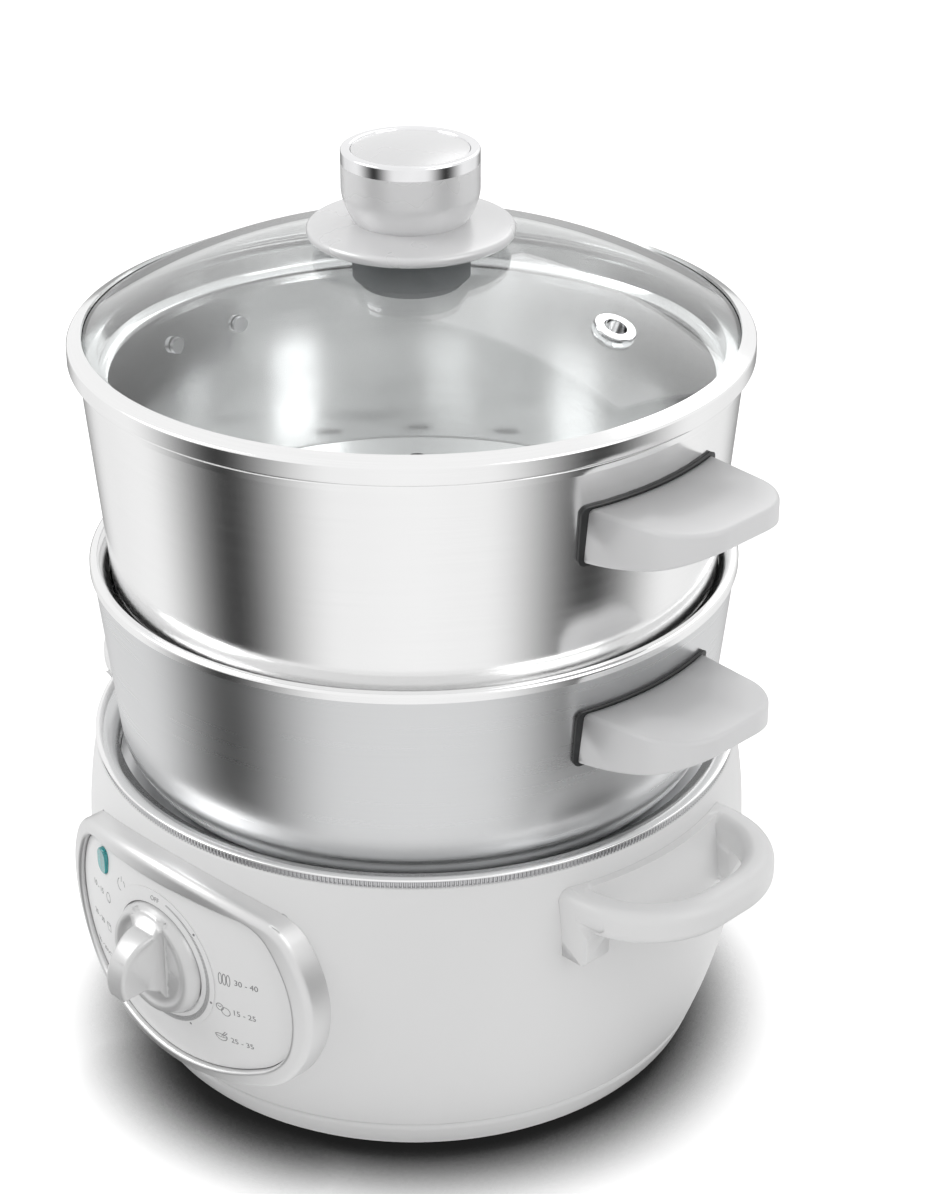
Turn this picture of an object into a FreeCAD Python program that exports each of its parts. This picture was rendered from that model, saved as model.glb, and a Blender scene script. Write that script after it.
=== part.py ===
import FreeCAD, Part
import math
import os
import Sketcher
from types import SimpleNamespace

# Electric food steamer: base with water bowl, heater and clockwork timer, steam tray, two stacking
# steel baskets and a domed glass lid. +Z is up, the panel faces -Y, the handles lie on +X and -X,
# the vessel's axis is x = y = 0 and z = 0 is the table. Millimetres and degrees.

# ---------------------------------------------------------------- driving dimensions
SIZES = {
    # foot ring and bottom cover
    "foot_height": 4.0,
    "foot_inner_radius": 80.0,
    "foot_outer_radius": 92.0,
    "foot_edge_round": 1.2,
    "cover_wall": 2.5,
    "cover_corner_reach": 106.5,
    "cover_corner_round": 14.0,
    "cover_spigot_height": 5.4,
    "cover_spigot_wall": 2.1,
    "seam_gap": 0.2,
    "seat_gap": 0.25,
    "skin_gap": 0.05,
    # barrel-shaped housing
    "housing_bottom": 20.8,
    "housing_top": 128.3,
    "housing_wall": 2.6,
    "housing_edge_round": 0.8,
    "belly_radius": 125.9,
    "belly_height": 89.1,
    "belly_bow": 187.1,
    "shelf_inner_radius": 115.0,
    # posts and the screws of the cover
    "post_count": 4,
    "post_angle": 45.0,
    "post_circle": 99.0,
    "post_radius": 5.0,
    "post_bottom": 14.2,
    "post_top": 44.0,
    "post_bore_depth": 20.0,
    "web_thickness": 2.6,
    "web_bite": 1.0,
    "cover_boss_radius": 6.5,
    "counterbore_radius": 4.2,
    "counterbore_top": 9.4,
    "cover_screw_radius": 1.6,
    "cover_screw_head_radius": 3.6,
    "cover_screw_head_height": 2.4,
    "cover_screw_length": 20.0,
    "thread_gap": 0.1,
    "hole_gap": 0.4,
    # ribbed band and water bowl
    "band_height": 2.8,
    "band_inner_radius": 118.7,
    "band_outer_radius": 121.3,
    "sheet": 0.9,
    "flange_outer_radius": 122.0,
    "flange_inner_radius": 117.5,
    "flange_edge_round": 0.4,
    "ledge_drop": 2.2,
    "ledge_slope": 1.0,
    "riser_radius": 113.6,
    "tray_seat": 118.0,
    "bowl_top_radius": 100.5,
    "bowl_floor_radius": 92.0,
    "bowl_floor": 48.0,
    "bowl_corner_round": 14.0,
    # heater under the bowl
    "heating_plate_radius": 60.0,
    "heating_plate_thickness": 8.0,
    "heater_ring_radius": 45.0,
    "heater_tube_radius": 4.0,
    "clamp_length": 120.0,
    "clamp_width": 14.0,
    "clamp_thickness": 2.0,
    "clamp_post_radius": 3.0,
    "thermostat_radius": 9.0,
    "thermostat_height": 8.0,
    "fuse_length": 20.0,
    "fuse_width": 8.0,
    "fuse_height": 5.0,
    "fuse_offset": 24.0,
    # mains inlet
    "terminal_length": 36.0,
    "terminal_width": 16.0,
    "terminal_height": 15.0,
    "terminal_offset": 66.0,
    "gland_height": 36.0,
    "gland_radius": 5.6,
    "gland_flange_radius": 9.0,
    "gland_flange_thickness": 2.4,
    "gland_seat_radius": 10.5,
    "gland_bore_radius": 3.6,
    "gland_depth": 12.0,
    # base handles
    "handle_reach": 160.5,
    "handle_half_span": 44.0,
    "handle_bar_thickness": 11.5,
    "handle_bar_height": 13.0,
    "handle_top": 121.5,
    "handle_plan_round": 37.0,
    "handle_edge_round": 4.6,
    "handle_root": 104.0,
    "handle_foot_bottom": 95.5,
    "handle_foot_reach": 129.5,
    "handle_foot_round": 3.0,
    "handle_foot_flare": 6.0,
    "handle_back_thickness": 3.2,
    "handle_screw_angle": 17.5,
    "handle_screw_radius": 1.9,
    "handle_screw_head_radius": 3.8,
    "handle_screw_head_height": 2.4,
    "handle_screw_length": 14.0,
    "handle_screw_height": 104.0,
    # bezel: a rounded outline of four wide and four tight arcs, wrapped on the housing
    "bezel_half_width": 65.5,
    "bezel_widest_height": 80.0,
    "bezel_top": 122.0,
    "bezel_bottom": 32.2,
    "bezel_side_bow": 52.0,
    "bezel_top_bow": 162.0,
    "bezel_bottom_bow": 130.0,
    "bezel_top_corner": 19.0,
    "bezel_bottom_corner": 27.0,
    "bezel_proud": 8.6,
    "bezel_half_angle": 36.0,
    "bezel_outer_round": 3.8,
    "bezel_inner_round": 1.3,
    # control plate
    "plate_half_width": 58.3,
    "plate_widest_height": 78.0,
    "plate_top": 114.2,
    "plate_bottom": 37.6,
    "plate_side_bow": 50.0,
    "plate_top_bow": 400.0,
    "plate_bottom_bow": 95.0,
    "plate_top_corner": 16.0,
    "plate_bottom_corner": 26.0,
    "plate_proud": 5.9,
    "plate_thickness": 5.6,
    "plate_gap": 0.3,
    "panel_screw_radius": 1.5,
    "panel_screw_head_radius": 3.0,
    "panel_screw_head_height": 2.0,
    "panel_screw_length": 9.0,
    "panel_screw_upper_angle": 23.5,
    "panel_screw_upper_height": 112.5,
    "panel_screw_lower_angle": 24.0,
    "panel_screw_lower_height": 50.0,
    # dial, timer and knob
    "dial_height": 81.0,
    "dial_radius": 22.4,
    "dial_ring_radius": 28.0,
    "dial_ring_proud": 0.35,
    "dial_recess": 2.2,
    "timer_opening_radius": 27.0,
    "timer_radius": 25.0,
    "timer_neck_radius": 6.0,
    "timer_neck_proud": 0.6,
    "nut_radius": 9.0,
    "nut_thickness": 2.0,
    "bell_radius": 15.0,
    "bell_gap": 1.2,
    "bell_depth": 6.0,
    "shaft_radius": 3.0,
    "shaft_gap": 0.05,
    "shaft_socket_depth": 14.0,
    "shaft_rise": 12.0,
    "knob_radius": 21.8,
    "knob_rim_radius": 19.4,
    "knob_rim_height": 4.3,
    "knob_rim_width": 1.5,
    "knob_floor": 2.8,
    "knob_floor_thickness": 1.7,
    "knob_wall": 1.5,
    "knob_lift": 0.3,
    "fin_half_width": 4.8,
    "fin_flare": 8.4,
    "fin_flare_height": 16.9,
    "fin_waist_top": 6.0,
    "fin_flare_bow": 17.0,
    "fin_end": 8.0,
    "fin_end_height": 9.6,
    "fin_end_foot": 12.6,
    "fin_crest": 19.2,
    "fin_crest_bow": 16.6,
    "fin_shoulder": 14.6,
    "fin_shoulder_height": 5.4,
    "fin_edge_round": 1.6,
    # indicator
    "lens_angle": -15.5,
    "lens_height": 104.6,
    "lens_half_width": 3.9,
    "lens_half_height": 5.25,
    "lens_round": 3.7,
    "lens_proud": 1.1,
    "lens_gap": 0.15,
    "lens_edge_round": 0.7,
    "lamp_radius": 3.0,
    "lamp_length": 13.0,
    "lamp_hole_radius": 5.0,
    # steam tray
    "tray_rim_gap": 0.4,
    "tray_top_gap": 0.7,
    "tray_floor": 74.0,
    "tray_wall_gap": 1.65,
    "tray_corner_round": 4.0,
    "tray_flange": 9.0,
    "tray_grid_pitch": 18.6,
    # baskets
    "tier_height": 86.0,
    "rim_radius": 120.0,
    "rim_skirt": 3.4,
    "rim_skirt_thickness": 0.5,
    "rim_crown_width": 3.1,
    "rim_outer_round": 1.5,
    "rim_inner_round": 1.0,
    "rim_slope_drop": 4.0,
    "rim_riser_radius": 112.9,
    "rim_ledge_drop": 9.0,
    "rim_ledge_width": 4.4,
    "rim_lip": 3.0,
    "rim_shell_gap": 0.2,
    "shell_top_radius": 119.3,
    "upper_floor_radius": 111.7,
    "upper_corner_round": 1.6,
    "upper_flange": 13.7,
    "upper_grid_pitch": 22.6,
    "lower_floor_radius": 110.2,
    "lower_corner_round": 22.0,
    "lower_flange": 32.2,
    "lower_grid_pitch": 17.4,
    "grid_thickness": 1.0,
    "grid_hole_radius": 3.4,
    "grid_centre_radius": 5.0,
    "grid_edge_gap": 1.2,
    # basket grips
    "grip_drop": 17.0,
    "grip_root_height": 20.8,
    "grip_half_width": 32.6,
    "grip_tip_half_width": 27.0,
    "grip_reach": 157.0,
    "grip_plan_round": 20.0,
    "grip_tip_height": 7.8,
    "grip_belly_bow": 105.0,
    "grip_edge_round": 1.8,
    "grip_root": 104.0,
    "gasket_thickness": 1.2,
    "gasket_margin": 0.8,
    "gasket_corner_round": 3.0,
    "grip_screw_angle": 8.0,
    "grip_screw_radius": 1.5,
    "grip_screw_head_radius": 3.2,
    "grip_screw_head_height": 1.6,
    "grip_screw_length": 14.0,
    "grip_screw_head_gap": 0.4,
    # lid glass and its steel edge
    "glass_radius": 121.3,
    "glass_edge_height": 5.6,
    "glass_rise": 34.7,
    "glass_thickness": 3.4,
    "glass_bore_radius": 5.2,
    "lid_ring_radius": 123.0,
    "lid_ring_inner_radius": 111.4,
    "lid_ring_height": 6.8,
    "lid_ring_thickness": 1.2,
    "lid_ring_lip_radius": 117.4,
    "lid_ring_round": 1.2,
    "lid_plug_depth": 5.0,
    "lid_plug_wall": 1.0,
    "lid_glass_gap": 0.3,
    "vent_azimuth": 11.0,
    "vent_distance": 84.0,
    "vent_hole_radius": 5.6,
    "grommet_radius": 7.6,
    "grommet_bore_radius": 4.2,
    "grommet_flange": 0.8,
    # lid knob
    "washer_radius": 12.0,
    "washer_thickness": 1.5,
    "knob_flange_radius": 37.0,
    "knob_flange_height": 3.8,
    "knob_flange_round": 1.8,
    "knob_neck_radius": 20.4,
    "knob_neck_height": 6.2,
    "knob_cup_radius": 24.5,
    "knob_cup_bow": 22.0,
    "knob_cup_height": 17.0,
    "knob_body_height": 27.0,
    "knob_ring_height": 4.8,
    "knob_ring_wall": 3.6,
    "knob_ring_round": 1.0,
    "knob_cap_rise": 2.4,
    "knob_cap_edge": 4.2,
    "boss_radius": 20.8,
    "boss_height": 13.0,
    "boss_chamfer": 3.0,
    "lid_screw_radius": 2.2,
    "lid_screw_head_radius": 4.6,
    "lid_screw_head_height": 3.0,
    "lid_screw_reach": 15.0,
    "lid_screw_recess": 4.0,
}


class Size:
    """A number that carries the spreadsheet formula it comes from."""

    def __init__(self, value, formula):
        self.value = value
        self.formula = formula

    def join(self, sign, other, value):
        return Size(value, "(%s %s %s)" % (self.formula, sign, other.formula))

    def __add__(self, other):
        other = as_size(other)
        return self.join("+", other, self.value + other.value)

    def __radd__(self, other):
        return as_size(other) + self

    def __sub__(self, other):
        other = as_size(other)
        return self.join("-", other, self.value - other.value)

    def __rsub__(self, other):
        return as_size(other) - self

    def __mul__(self, other):
        other = as_size(other)
        return self.join("*", other, self.value * other.value)

    def __rmul__(self, other):
        return as_size(other) * self

    def __truediv__(self, other):
        other = as_size(other)
        return self.join("/", other, self.value / other.value)

    def __neg__(self):
        return as_size(-1) * self


def as_size(number):
    if isinstance(number, Size):
        return number
    return Size(float(number), "(%r)" % float(number))


def root(number):
    return Size(math.sqrt(number.value), "sqrt(%s)" % number.formula)


def sine(angle):
    return Size(math.sin(math.radians(angle.value)), "sin(%s * 1 deg)" % angle.formula)


def cosine(angle):
    return Size(math.cos(math.radians(angle.value)), "cos(%s * 1 deg)" % angle.formula)


def arc_sine(ratio):
    return Size(math.degrees(math.asin(ratio.value)), "asin(%s)" % ratio.formula)


V = FreeCAD.Vector
doc = FreeCAD.newDocument("food_steamer")
sheet = doc.addObject("Spreadsheet::Sheet", "Dims")
for row, (alias, number) in enumerate(SIZES.items(), start=1):
    sheet.set("A%d" % row, alias)
    sheet.set("B%d" % row, str(number))
    sheet.setAlias("B%d" % row, alias)
doc.recompute()
d = SimpleNamespace(**{alias: Size(float(number), "Dims." + alias) for alias, number in SIZES.items()})
pieces = []


# ---------------------------------------------------------------- drawing helpers
class Bow:
    """An arc in place of a straight edge; outward is True where it bulges to the right of the way round."""

    def __init__(self, radius, outward=True):
        self.radius = radius
        self.outward = outward


def bind(thing, name, size):
    thing.setExpression(name, size.formula)


def limit(sketch, kind, *where_and_size):
    """Adds a constraint whose size follows the spreadsheet."""
    size = as_size(where_and_size[-1])
    number = sketch.addConstraint(Sketcher.Constraint(kind, *where_and_size[:-1], size.value))
    bind(sketch, "Constraints[%d]" % number, size)


def hold(sketch, line, end, x, y):
    """Fixes one point of a sketch at x, y; a plain 0 puts it on the sketch's own axis."""
    if isinstance(x, Size):
        limit(sketch, "DistanceX", line, end, x)
    else:
        sketch.addConstraint(Sketcher.Constraint("PointOnObject", line, end, -2))
    if isinstance(y, Size):
        limit(sketch, "DistanceY", line, end, y)
    else:
        sketch.addConstraint(Sketcher.Constraint("PointOnObject", line, end, -1))


def add_arc(sketch, centre, radius, start, end, leftward):
    """Adds an arc walked from start to end; gives its number and which of its ends come first and last."""
    first, last = (start, end) if leftward else (end, start)
    angles = [math.atan2(p.y - centre.y, p.x - centre.x) for p in (first, last)]
    circle = Part.Circle(centre, V(0, 0, 1), radius)
    number = sketch.addGeometry(Part.ArcOfCircle(circle, angles[0], angles[1]), False)
    return (number, 1, 2) if leftward else (number, 2, 1)


def outline(sketch, path):
    """A closed loop through the corners of path, as (x, y) or, where it is rounded, (x, y, radius).

    A Bow between two corners makes an arc of the edge there.
    """
    corners = [item for item in path if not isinstance(item, Bow)]
    bows = {}
    passed = -1
    for item in path:
        if isinstance(item, Bow):
            bows[passed] = item
        else:
            passed += 1
    points = [V(as_size(c[0]).value, as_size(c[1]).value, 0) for c in corners]
    count = len(points)
    entries = list(points)
    exits = list(points)
    centres = {}
    for i, corner in enumerate(corners):
        if len(corner) == 3:
            back = (points[i - 1] - points[i]).normalize()
            ahead = (points[(i + 1) % count] - points[i]).normalize()
            half = back.getAngle(ahead) / 2
            reach = corner[2].value / math.tan(half)
            entries[i] = points[i] + back * reach
            exits[i] = points[i] + ahead * reach
            centres[i] = points[i] + (back + ahead).normalize() * (corner[2].value / math.sin(half))
    edges = []
    for i in range(count):
        start = exits[i]
        end = entries[(i + 1) % count]
        if i in bows:
            bow = bows[i]
            along = end - start
            across = V(along.y, -along.x, 0).normalize()
            height = math.sqrt(bow.radius.value ** 2 - (along.Length / 2) ** 2)
            side = -1 if bow.outward else 1
            centre = (start + end) * 0.5 + across * (side * height)
            edges.append(add_arc(sketch, centre, bow.radius.value, start, end, bow.outward))
            limit(sketch, "Radius", edges[-1][0], bow.radius)
        else:
            edges.append((sketch.addGeometry(Part.LineSegment(start, end), False), 1, 2))
    for i, corner in enumerate(corners):
        before = edges[i - 1]
        after = edges[i]
        if i not in centres:
            sketch.addConstraint(Sketcher.Constraint("Coincident", before[0], before[2], after[0], after[1]))
            hold(sketch, after[0], after[1], corner[0], corner[1])
            continue
        turn = (points[i] - entries[i]).cross(exits[i] - points[i]).z
        arc = add_arc(sketch, centres[i], corner[2].value, entries[i], exits[i], turn > 0)
        peak = sketch.addGeometry(Part.Point(points[i]), True)
        hold(sketch, peak, 1, corner[0], corner[1])
        sketch.addConstraint(Sketcher.Constraint("PointOnObject", peak, 1, before[0]))
        sketch.addConstraint(Sketcher.Constraint("PointOnObject", peak, 1, after[0]))
        sketch.addConstraint(Sketcher.Constraint("Tangent", before[0], before[2], arc[0], arc[1]))
        sketch.addConstraint(Sketcher.Constraint("Tangent", arc[0], arc[2], after[0], after[1]))
        limit(sketch, "Radius", arc[0], corner[2])


def circle(sketch, x, y, radius):
    centre = V(as_size(x).value, as_size(y).value, 0)
    number = sketch.addGeometry(Part.Circle(centre, V(0, 0, 1), radius.value), False)
    hold(sketch, number, 3, x, y)
    limit(sketch, "Radius", number, radius)


def meeting_point(centre_a, radius_a, centre_b, radius_b, towards):
    """The point at the given distances from two centres that lies further towards a direction."""
    along = centre_b - centre_a
    gap = along.Length
    along = along * (1 / gap)
    reach = (gap ** 2 + radius_a ** 2 - radius_b ** 2) / (2 * gap)
    height = math.sqrt(radius_a ** 2 - reach ** 2)
    across = V(-along.y, along.x, 0)
    if across.dot(towards) < 0:
        across = across * -1
    return centre_a + along * reach + across * height


def pillow(sketch, half_width, widest, top, bottom, side_bow, top_bow, bottom_bow, top_corner, bottom_corner):
    """A closed outline of four wide arcs joined by four tighter ones, alike left and right."""
    right = V(half_width.value - side_bow.value, widest.value, 0)
    left = V(-right.x, right.y, 0)
    crown = V(0, top.value - top_bow.value, 0)
    base = V(0, bottom.value + bottom_bow.value, 0)
    # each wide arc's centre and radius in the order walked, and the corner that follows it
    wide = [(right, side_bow), (crown, top_bow), (left, side_bow), (base, bottom_bow)]
    tight = [(top_corner, V(1, 1, 0)), (top_corner, V(-1, 1, 0)),
             (bottom_corner, V(-1, -1, 0)), (bottom_corner, V(1, -1, 0))]
    joints = []
    corner_centres = []
    for i in range(4):
        centre_a, radius_a = wide[i]
        centre_b, radius_b = wide[(i + 1) % 4]
        corner, towards = tight[i]
        centre = meeting_point(centre_a, radius_a.value - corner.value,
                               centre_b, radius_b.value - corner.value, towards)
        corner_centres.append(centre)
        joints.append(centre + (centre - centre_a).normalize() * corner.value)
        joints.append(centre + (centre - centre_b).normalize() * corner.value)
    arcs = []
    for i in range(4):
        arcs.append(add_arc(sketch, wide[i][0], wide[i][1].value, joints[2 * i - 1], joints[2 * i], True))
        limit(sketch, "Radius", arcs[-1][0], wide[i][1])
        arcs.append(add_arc(sketch, corner_centres[i], tight[i][0].value,
                            joints[2 * i], joints[2 * i + 1], True))
        limit(sketch, "Radius", arcs[-1][0], tight[i][0])
    for i in range(8):
        sketch.addConstraint(Sketcher.Constraint("Tangent", arcs[i - 1][0], 2, arcs[i][0], 1))
    hold(sketch, arcs[0][0], 3, half_width - side_bow, widest)
    hold(sketch, arcs[2][0], 3, 0, top - top_bow)
    hold(sketch, arcs[4][0], 3, side_bow - half_width, widest)
    hold(sketch, arcs[6][0], 3, 0, bottom + bottom_bow)


# ---------------------------------------------------------------- solid helpers
def new_piece(name, lift=None, turn=0.0):
    """A body with its own name, raised by lift and turned about the vessel's axis."""
    piece = doc.addObject("PartDesign::Body", name)
    piece.Label = name
    piece.Placement = FreeCAD.Placement(V(0, 0, 0), FreeCAD.Rotation(V(0, 0, 1), as_size(turn).value))
    if isinstance(turn, Size):
        bind(piece, "Placement.Rotation.Angle", turn)
    if lift is not None:
        bind(piece, "Placement.Base.z", lift)
    pieces.append(piece)
    return piece


def origin_feature(piece, role):
    return [item for item in piece.Origin.OriginFeatures if item.Role == role][0]


def draw_level(piece, height=None, turn=None):
    """A sketch in a level plane at the given height; turn swings it about the vessel's axis."""
    sketch = piece.newObject("Sketcher::SketchObject", piece.Name + "_level")
    sketch.AttachmentSupport = [(origin_feature(piece, "XY_Plane"), "")]
    sketch.MapMode = "FlatFace"
    if turn is not None:
        sketch.AttachmentOffset = FreeCAD.Placement(V(0, 0, 0), FreeCAD.Rotation(V(0, 0, 1), turn.value))
        bind(sketch, "AttachmentOffset.Rotation.Angle", turn)
    if height is not None:
        bind(sketch, "AttachmentOffset.Base.z", height)
    return sketch


def draw_upright(piece, turn=None, out=None, rise=None):
    """A sketch in an upright plane: x across, y up, facing -Y before it is turned about the axis.

    out moves it away from the axis the way it faces, and rise lifts its origin.
    """
    sketch = piece.newObject("Sketcher::SketchObject", piece.Name + "_upright")
    sketch.AttachmentSupport = [(origin_feature(piece, "XZ_Plane"), "")]
    sketch.MapMode = "FlatFace"
    if turn is not None:
        turn = as_size(turn)
        sketch.AttachmentOffset = FreeCAD.Placement(V(0, 0, 0), FreeCAD.Rotation(V(0, 1, 0), turn.value))
        bind(sketch, "AttachmentOffset.Rotation.Angle", turn)
        if out is not None:
            bind(sketch, "AttachmentOffset.Base.x", out * sine(turn))
            bind(sketch, "AttachmentOffset.Base.z", out * cosine(turn))
    elif out is not None:
        bind(sketch, "AttachmentOffset.Base.z", out)
    if rise is not None:
        bind(sketch, "AttachmentOffset.Base.y", rise)
    return sketch


def settle(piece, feature):
    """Makes feature the piece's newest step, rebuilds and sees that the step is sound."""
    piece.Tip = feature
    doc.recompute()
    if "Invalid" in feature.State or "Error" in feature.State or feature.Shape.isNull():
        raise RuntimeError("%s: %s failed" % (piece.Label, feature.Name))
    return feature


def sweep_feature(piece, kind, sketch, settings, cuts=False):
    """Adds a step that is made from a sketch; one that cuts has to take material away."""
    before = piece.Tip.Shape.Volume if cuts else None
    feature = piece.newObject("PartDesign::" + kind, "%s_%s" % (piece.Name, kind.lower()))
    feature.Profile = sketch
    for name, setting in settings.items():
        if isinstance(setting, Size):
            setattr(feature, name, setting.value)
            bind(feature, name, setting)
        else:
            setattr(feature, name, setting)
    settle(piece, feature)
    if cuts and feature.Shape.Volume >= before:
        raise RuntimeError("%s: %s cuts nothing" % (piece.Label, feature.Name))
    return feature


def pad(piece, sketch, length, downward=False, both_ways=False):
    settings = {"Length": length, "Reversed": downward}
    if both_ways:
        settings["SideType"] = "Symmetric"
    return sweep_feature(piece, "Pad", sketch, settings)


def pocket(piece, sketch, length=None, forward=False, both_ways=False):
    """Cuts against the way the sketch faces, or forward, for a length or right through."""
    settings = {"Reversed": forward}
    if length is None:
        settings["Type"] = "ThroughAll"
    else:
        settings["Length"] = length
    if both_ways:
        settings["SideType"] = "Symmetric"
    return sweep_feature(piece, "Pocket", sketch, settings, cuts=True)


def revolve(piece, sketch, angle=360.0, axis="V_Axis"):
    """Turns a section about the sketch's upright axis; a part turn is centred on the sketch."""
    settings = {"ReferenceAxis": (sketch, [axis]), "Angle": angle}
    if isinstance(angle, Size):
        settings["Midplane"] = True
    return sweep_feature(piece, "Revolution", sketch, settings)


def groove(piece, sketch):
    settings = {"ReferenceAxis": (sketch, ["V_Axis"]), "Angle": 360.0}
    return sweep_feature(piece, "Groove", sketch, settings, cuts=True)


def repeat_round(piece, features, count):
    """Repeats features evenly about the vessel's axis."""
    pattern = piece.newObject("PartDesign::PolarPattern", piece.Name + "_round")
    pattern.Originals = features
    pattern.Axis = (origin_feature(piece, "Z_Axis"), [""])
    pattern.Angle = 360.0
    pattern.Occurrences = int(round(count.value))
    bind(pattern, "Occurrences", count)
    return settle(piece, pattern)


def smooth_edges(piece, radius, chosen, kind="Fillet"):
    """Rounds the edges of the piece whose middle point passes the test chosen."""
    base = piece.Tip
    names = []
    for number, edge in enumerate(base.Shape.Edges, start=1):
        middle = edge.valueAt((edge.FirstParameter + edge.LastParameter) / 2)
        if chosen(middle, edge):
            names.append("Edge%d" % number)
    if not names:
        raise RuntimeError(piece.Label + " has no edge to round")
    smooth = piece.newObject("PartDesign::" + kind, "%s_%s" % (piece.Name, kind.lower()))
    smooth.Base = (base, names)
    name = "Radius" if kind == "Fillet" else "Size"
    setattr(smooth, name, radius.value)
    bind(smooth, name, radius)
    return settle(piece, smooth)


def ring_round(piece, path):
    """A full-turn solid from a section given as radius and height."""
    section = draw_upright(piece)
    outline(section, path)
    revolve(piece, section)


def from_axis(point):
    return math.hypot(point.x, point.y)


# ---------------------------------------------------------------- shared places and forms
def housing_radius(height, proud=0.0):
    """The housing's outside at a height, or a surface that stands proud of it all over."""
    bow = d.belly_bow + proud
    rise = height - d.belly_height
    return d.belly_radius - d.belly_bow + root(bow * bow - rise * rise)


def screw_seat(height, head_radius):
    """The housing's inside where the leaning wall first meets the edge of a screw's head."""
    away = head_radius if height.value > d.belly_height.value else -head_radius
    return housing_radius(height + away, -d.housing_wall) - d.hole_gap


def bowl_wall(height):
    """The inside of the bowl's leaning wall at a height."""
    lean = (d.bowl_top_radius - d.bowl_floor_radius) / (d.tray_seat - d.bowl_floor)
    return d.bowl_floor_radius + lean * (height - d.bowl_floor)


def housing_band(section, bottom, top, inner_proud, outer_proud):
    """A section between two surfaces that follow the housing, from bottom to top."""
    outline(section, [
        (housing_radius(bottom, inner_proud), bottom),
        (housing_radius(bottom, outer_proud), bottom),
        Bow(d.belly_bow + outer_proud),
        (housing_radius(top, outer_proud), top),
        (housing_radius(top, inner_proud), top),
        Bow(d.belly_bow + inner_proud, outward=False),
    ])


cover_top = d.housing_bottom - d.seam_gap
spigot_top = cover_top + d.cover_spigot_height
flange_top = d.housing_top + d.band_height + d.sheet
ledge_height = flange_top - d.ledge_drop
bowl_underside = d.bowl_floor - d.sheet
plate_front = housing_radius(d.dial_height, d.plate_proud)
# the plate's curved back comes nearest to the timer's round rim low down at each side
timer_diagonal = d.timer_radius * root(as_size(0.5))
plate_back = housing_radius(d.dial_height - timer_diagonal, d.plate_proud - d.plate_thickness)
timer_front = root(plate_back * plate_back - timer_diagonal * timer_diagonal) - d.plate_gap
# the timer reaches back to its bell, which clears the bowl's leaning wall
bell_back = bowl_wall(d.dial_height + d.bell_radius) + d.sheet + d.bell_gap
timer_back = bell_back + d.bell_depth
tray_floor_radius = bowl_wall(d.tray_floor) - d.tray_wall_gap
lens_back = housing_radius(d.lens_height, d.plate_proud - d.plate_thickness)
lens_front = housing_radius(d.lens_height, d.plate_proud + d.lens_proud)
# the wall slants where the lead comes in, so a flat round boss carries the gland
gland_seat = housing_radius(d.gland_height + d.gland_seat_radius) + d.seat_gap
FACES_X = 90.0
REAR = 180.0
BASE_GRIP_SIDES = (0.0, 180.0)


# ---------------------------------------------------------------- base
def make_foot_ring():
    ring = new_piece("foot_ring")
    ring_round(ring, [
        (d.foot_inner_radius, 0, d.foot_edge_round),
        (d.foot_outer_radius, 0, d.foot_edge_round),
        (d.foot_outer_radius, d.foot_height),
        (d.foot_inner_radius, d.foot_height),
    ])


def make_bottom_cover():
    cover = new_piece("bottom_cover")
    edge = housing_radius(d.housing_bottom)
    spigot = edge - d.housing_wall - d.seat_gap
    inner_floor = d.foot_height + d.cover_wall
    inner_reach = d.cover_corner_reach - d.cover_wall
    ring_round(cover, [
        (0, d.foot_height),
        (d.cover_corner_reach, d.foot_height, d.cover_corner_round),
        (edge, cover_top),
        (spigot, cover_top),
        (spigot, spigot_top),
        (spigot - d.cover_spigot_wall, spigot_top),
        (spigot - d.cover_spigot_wall, cover_top - d.cover_wall),
        (inner_reach, inner_floor, d.cover_corner_round - d.cover_wall),
        (0, inner_floor),
    ])
    boss = draw_level(cover, d.foot_height + d.cover_wall / 2, d.post_angle)
    circle(boss, d.post_circle, 0, d.cover_boss_radius)
    boss_top = d.post_bottom - d.seam_gap
    column = pad(cover, boss, boss_top - d.foot_height - d.cover_wall / 2)
    recess = draw_level(cover, None, d.post_angle)
    circle(recess, d.post_circle, 0, d.counterbore_radius)
    recess_cut = pocket(cover, recess, d.counterbore_top, forward=True)
    hole = draw_level(cover, None, d.post_angle)
    circle(hole, d.post_circle, 0, d.cover_screw_radius + d.hole_gap)
    hole_cut = pocket(cover, hole, boss_top + d.seam_gap, forward=True)
    repeat_round(cover, [column, recess_cut, hole_cut], d.post_count)


def make_cover_screws():
    screws = new_piece("cover_screws")
    head = draw_level(screws, d.counterbore_top - d.cover_screw_head_height, d.post_angle)
    circle(head, d.post_circle, 0, d.cover_screw_head_radius)
    head_pad = pad(screws, head, d.cover_screw_head_height)
    shank = draw_level(screws, d.counterbore_top - d.cover_screw_head_height / 2, d.post_angle)
    circle(shank, d.post_circle, 0, d.cover_screw_radius)
    shank_pad = pad(screws, shank, d.cover_screw_length)
    repeat_round(screws, [head_pad, shank_pad], d.post_count)


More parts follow.
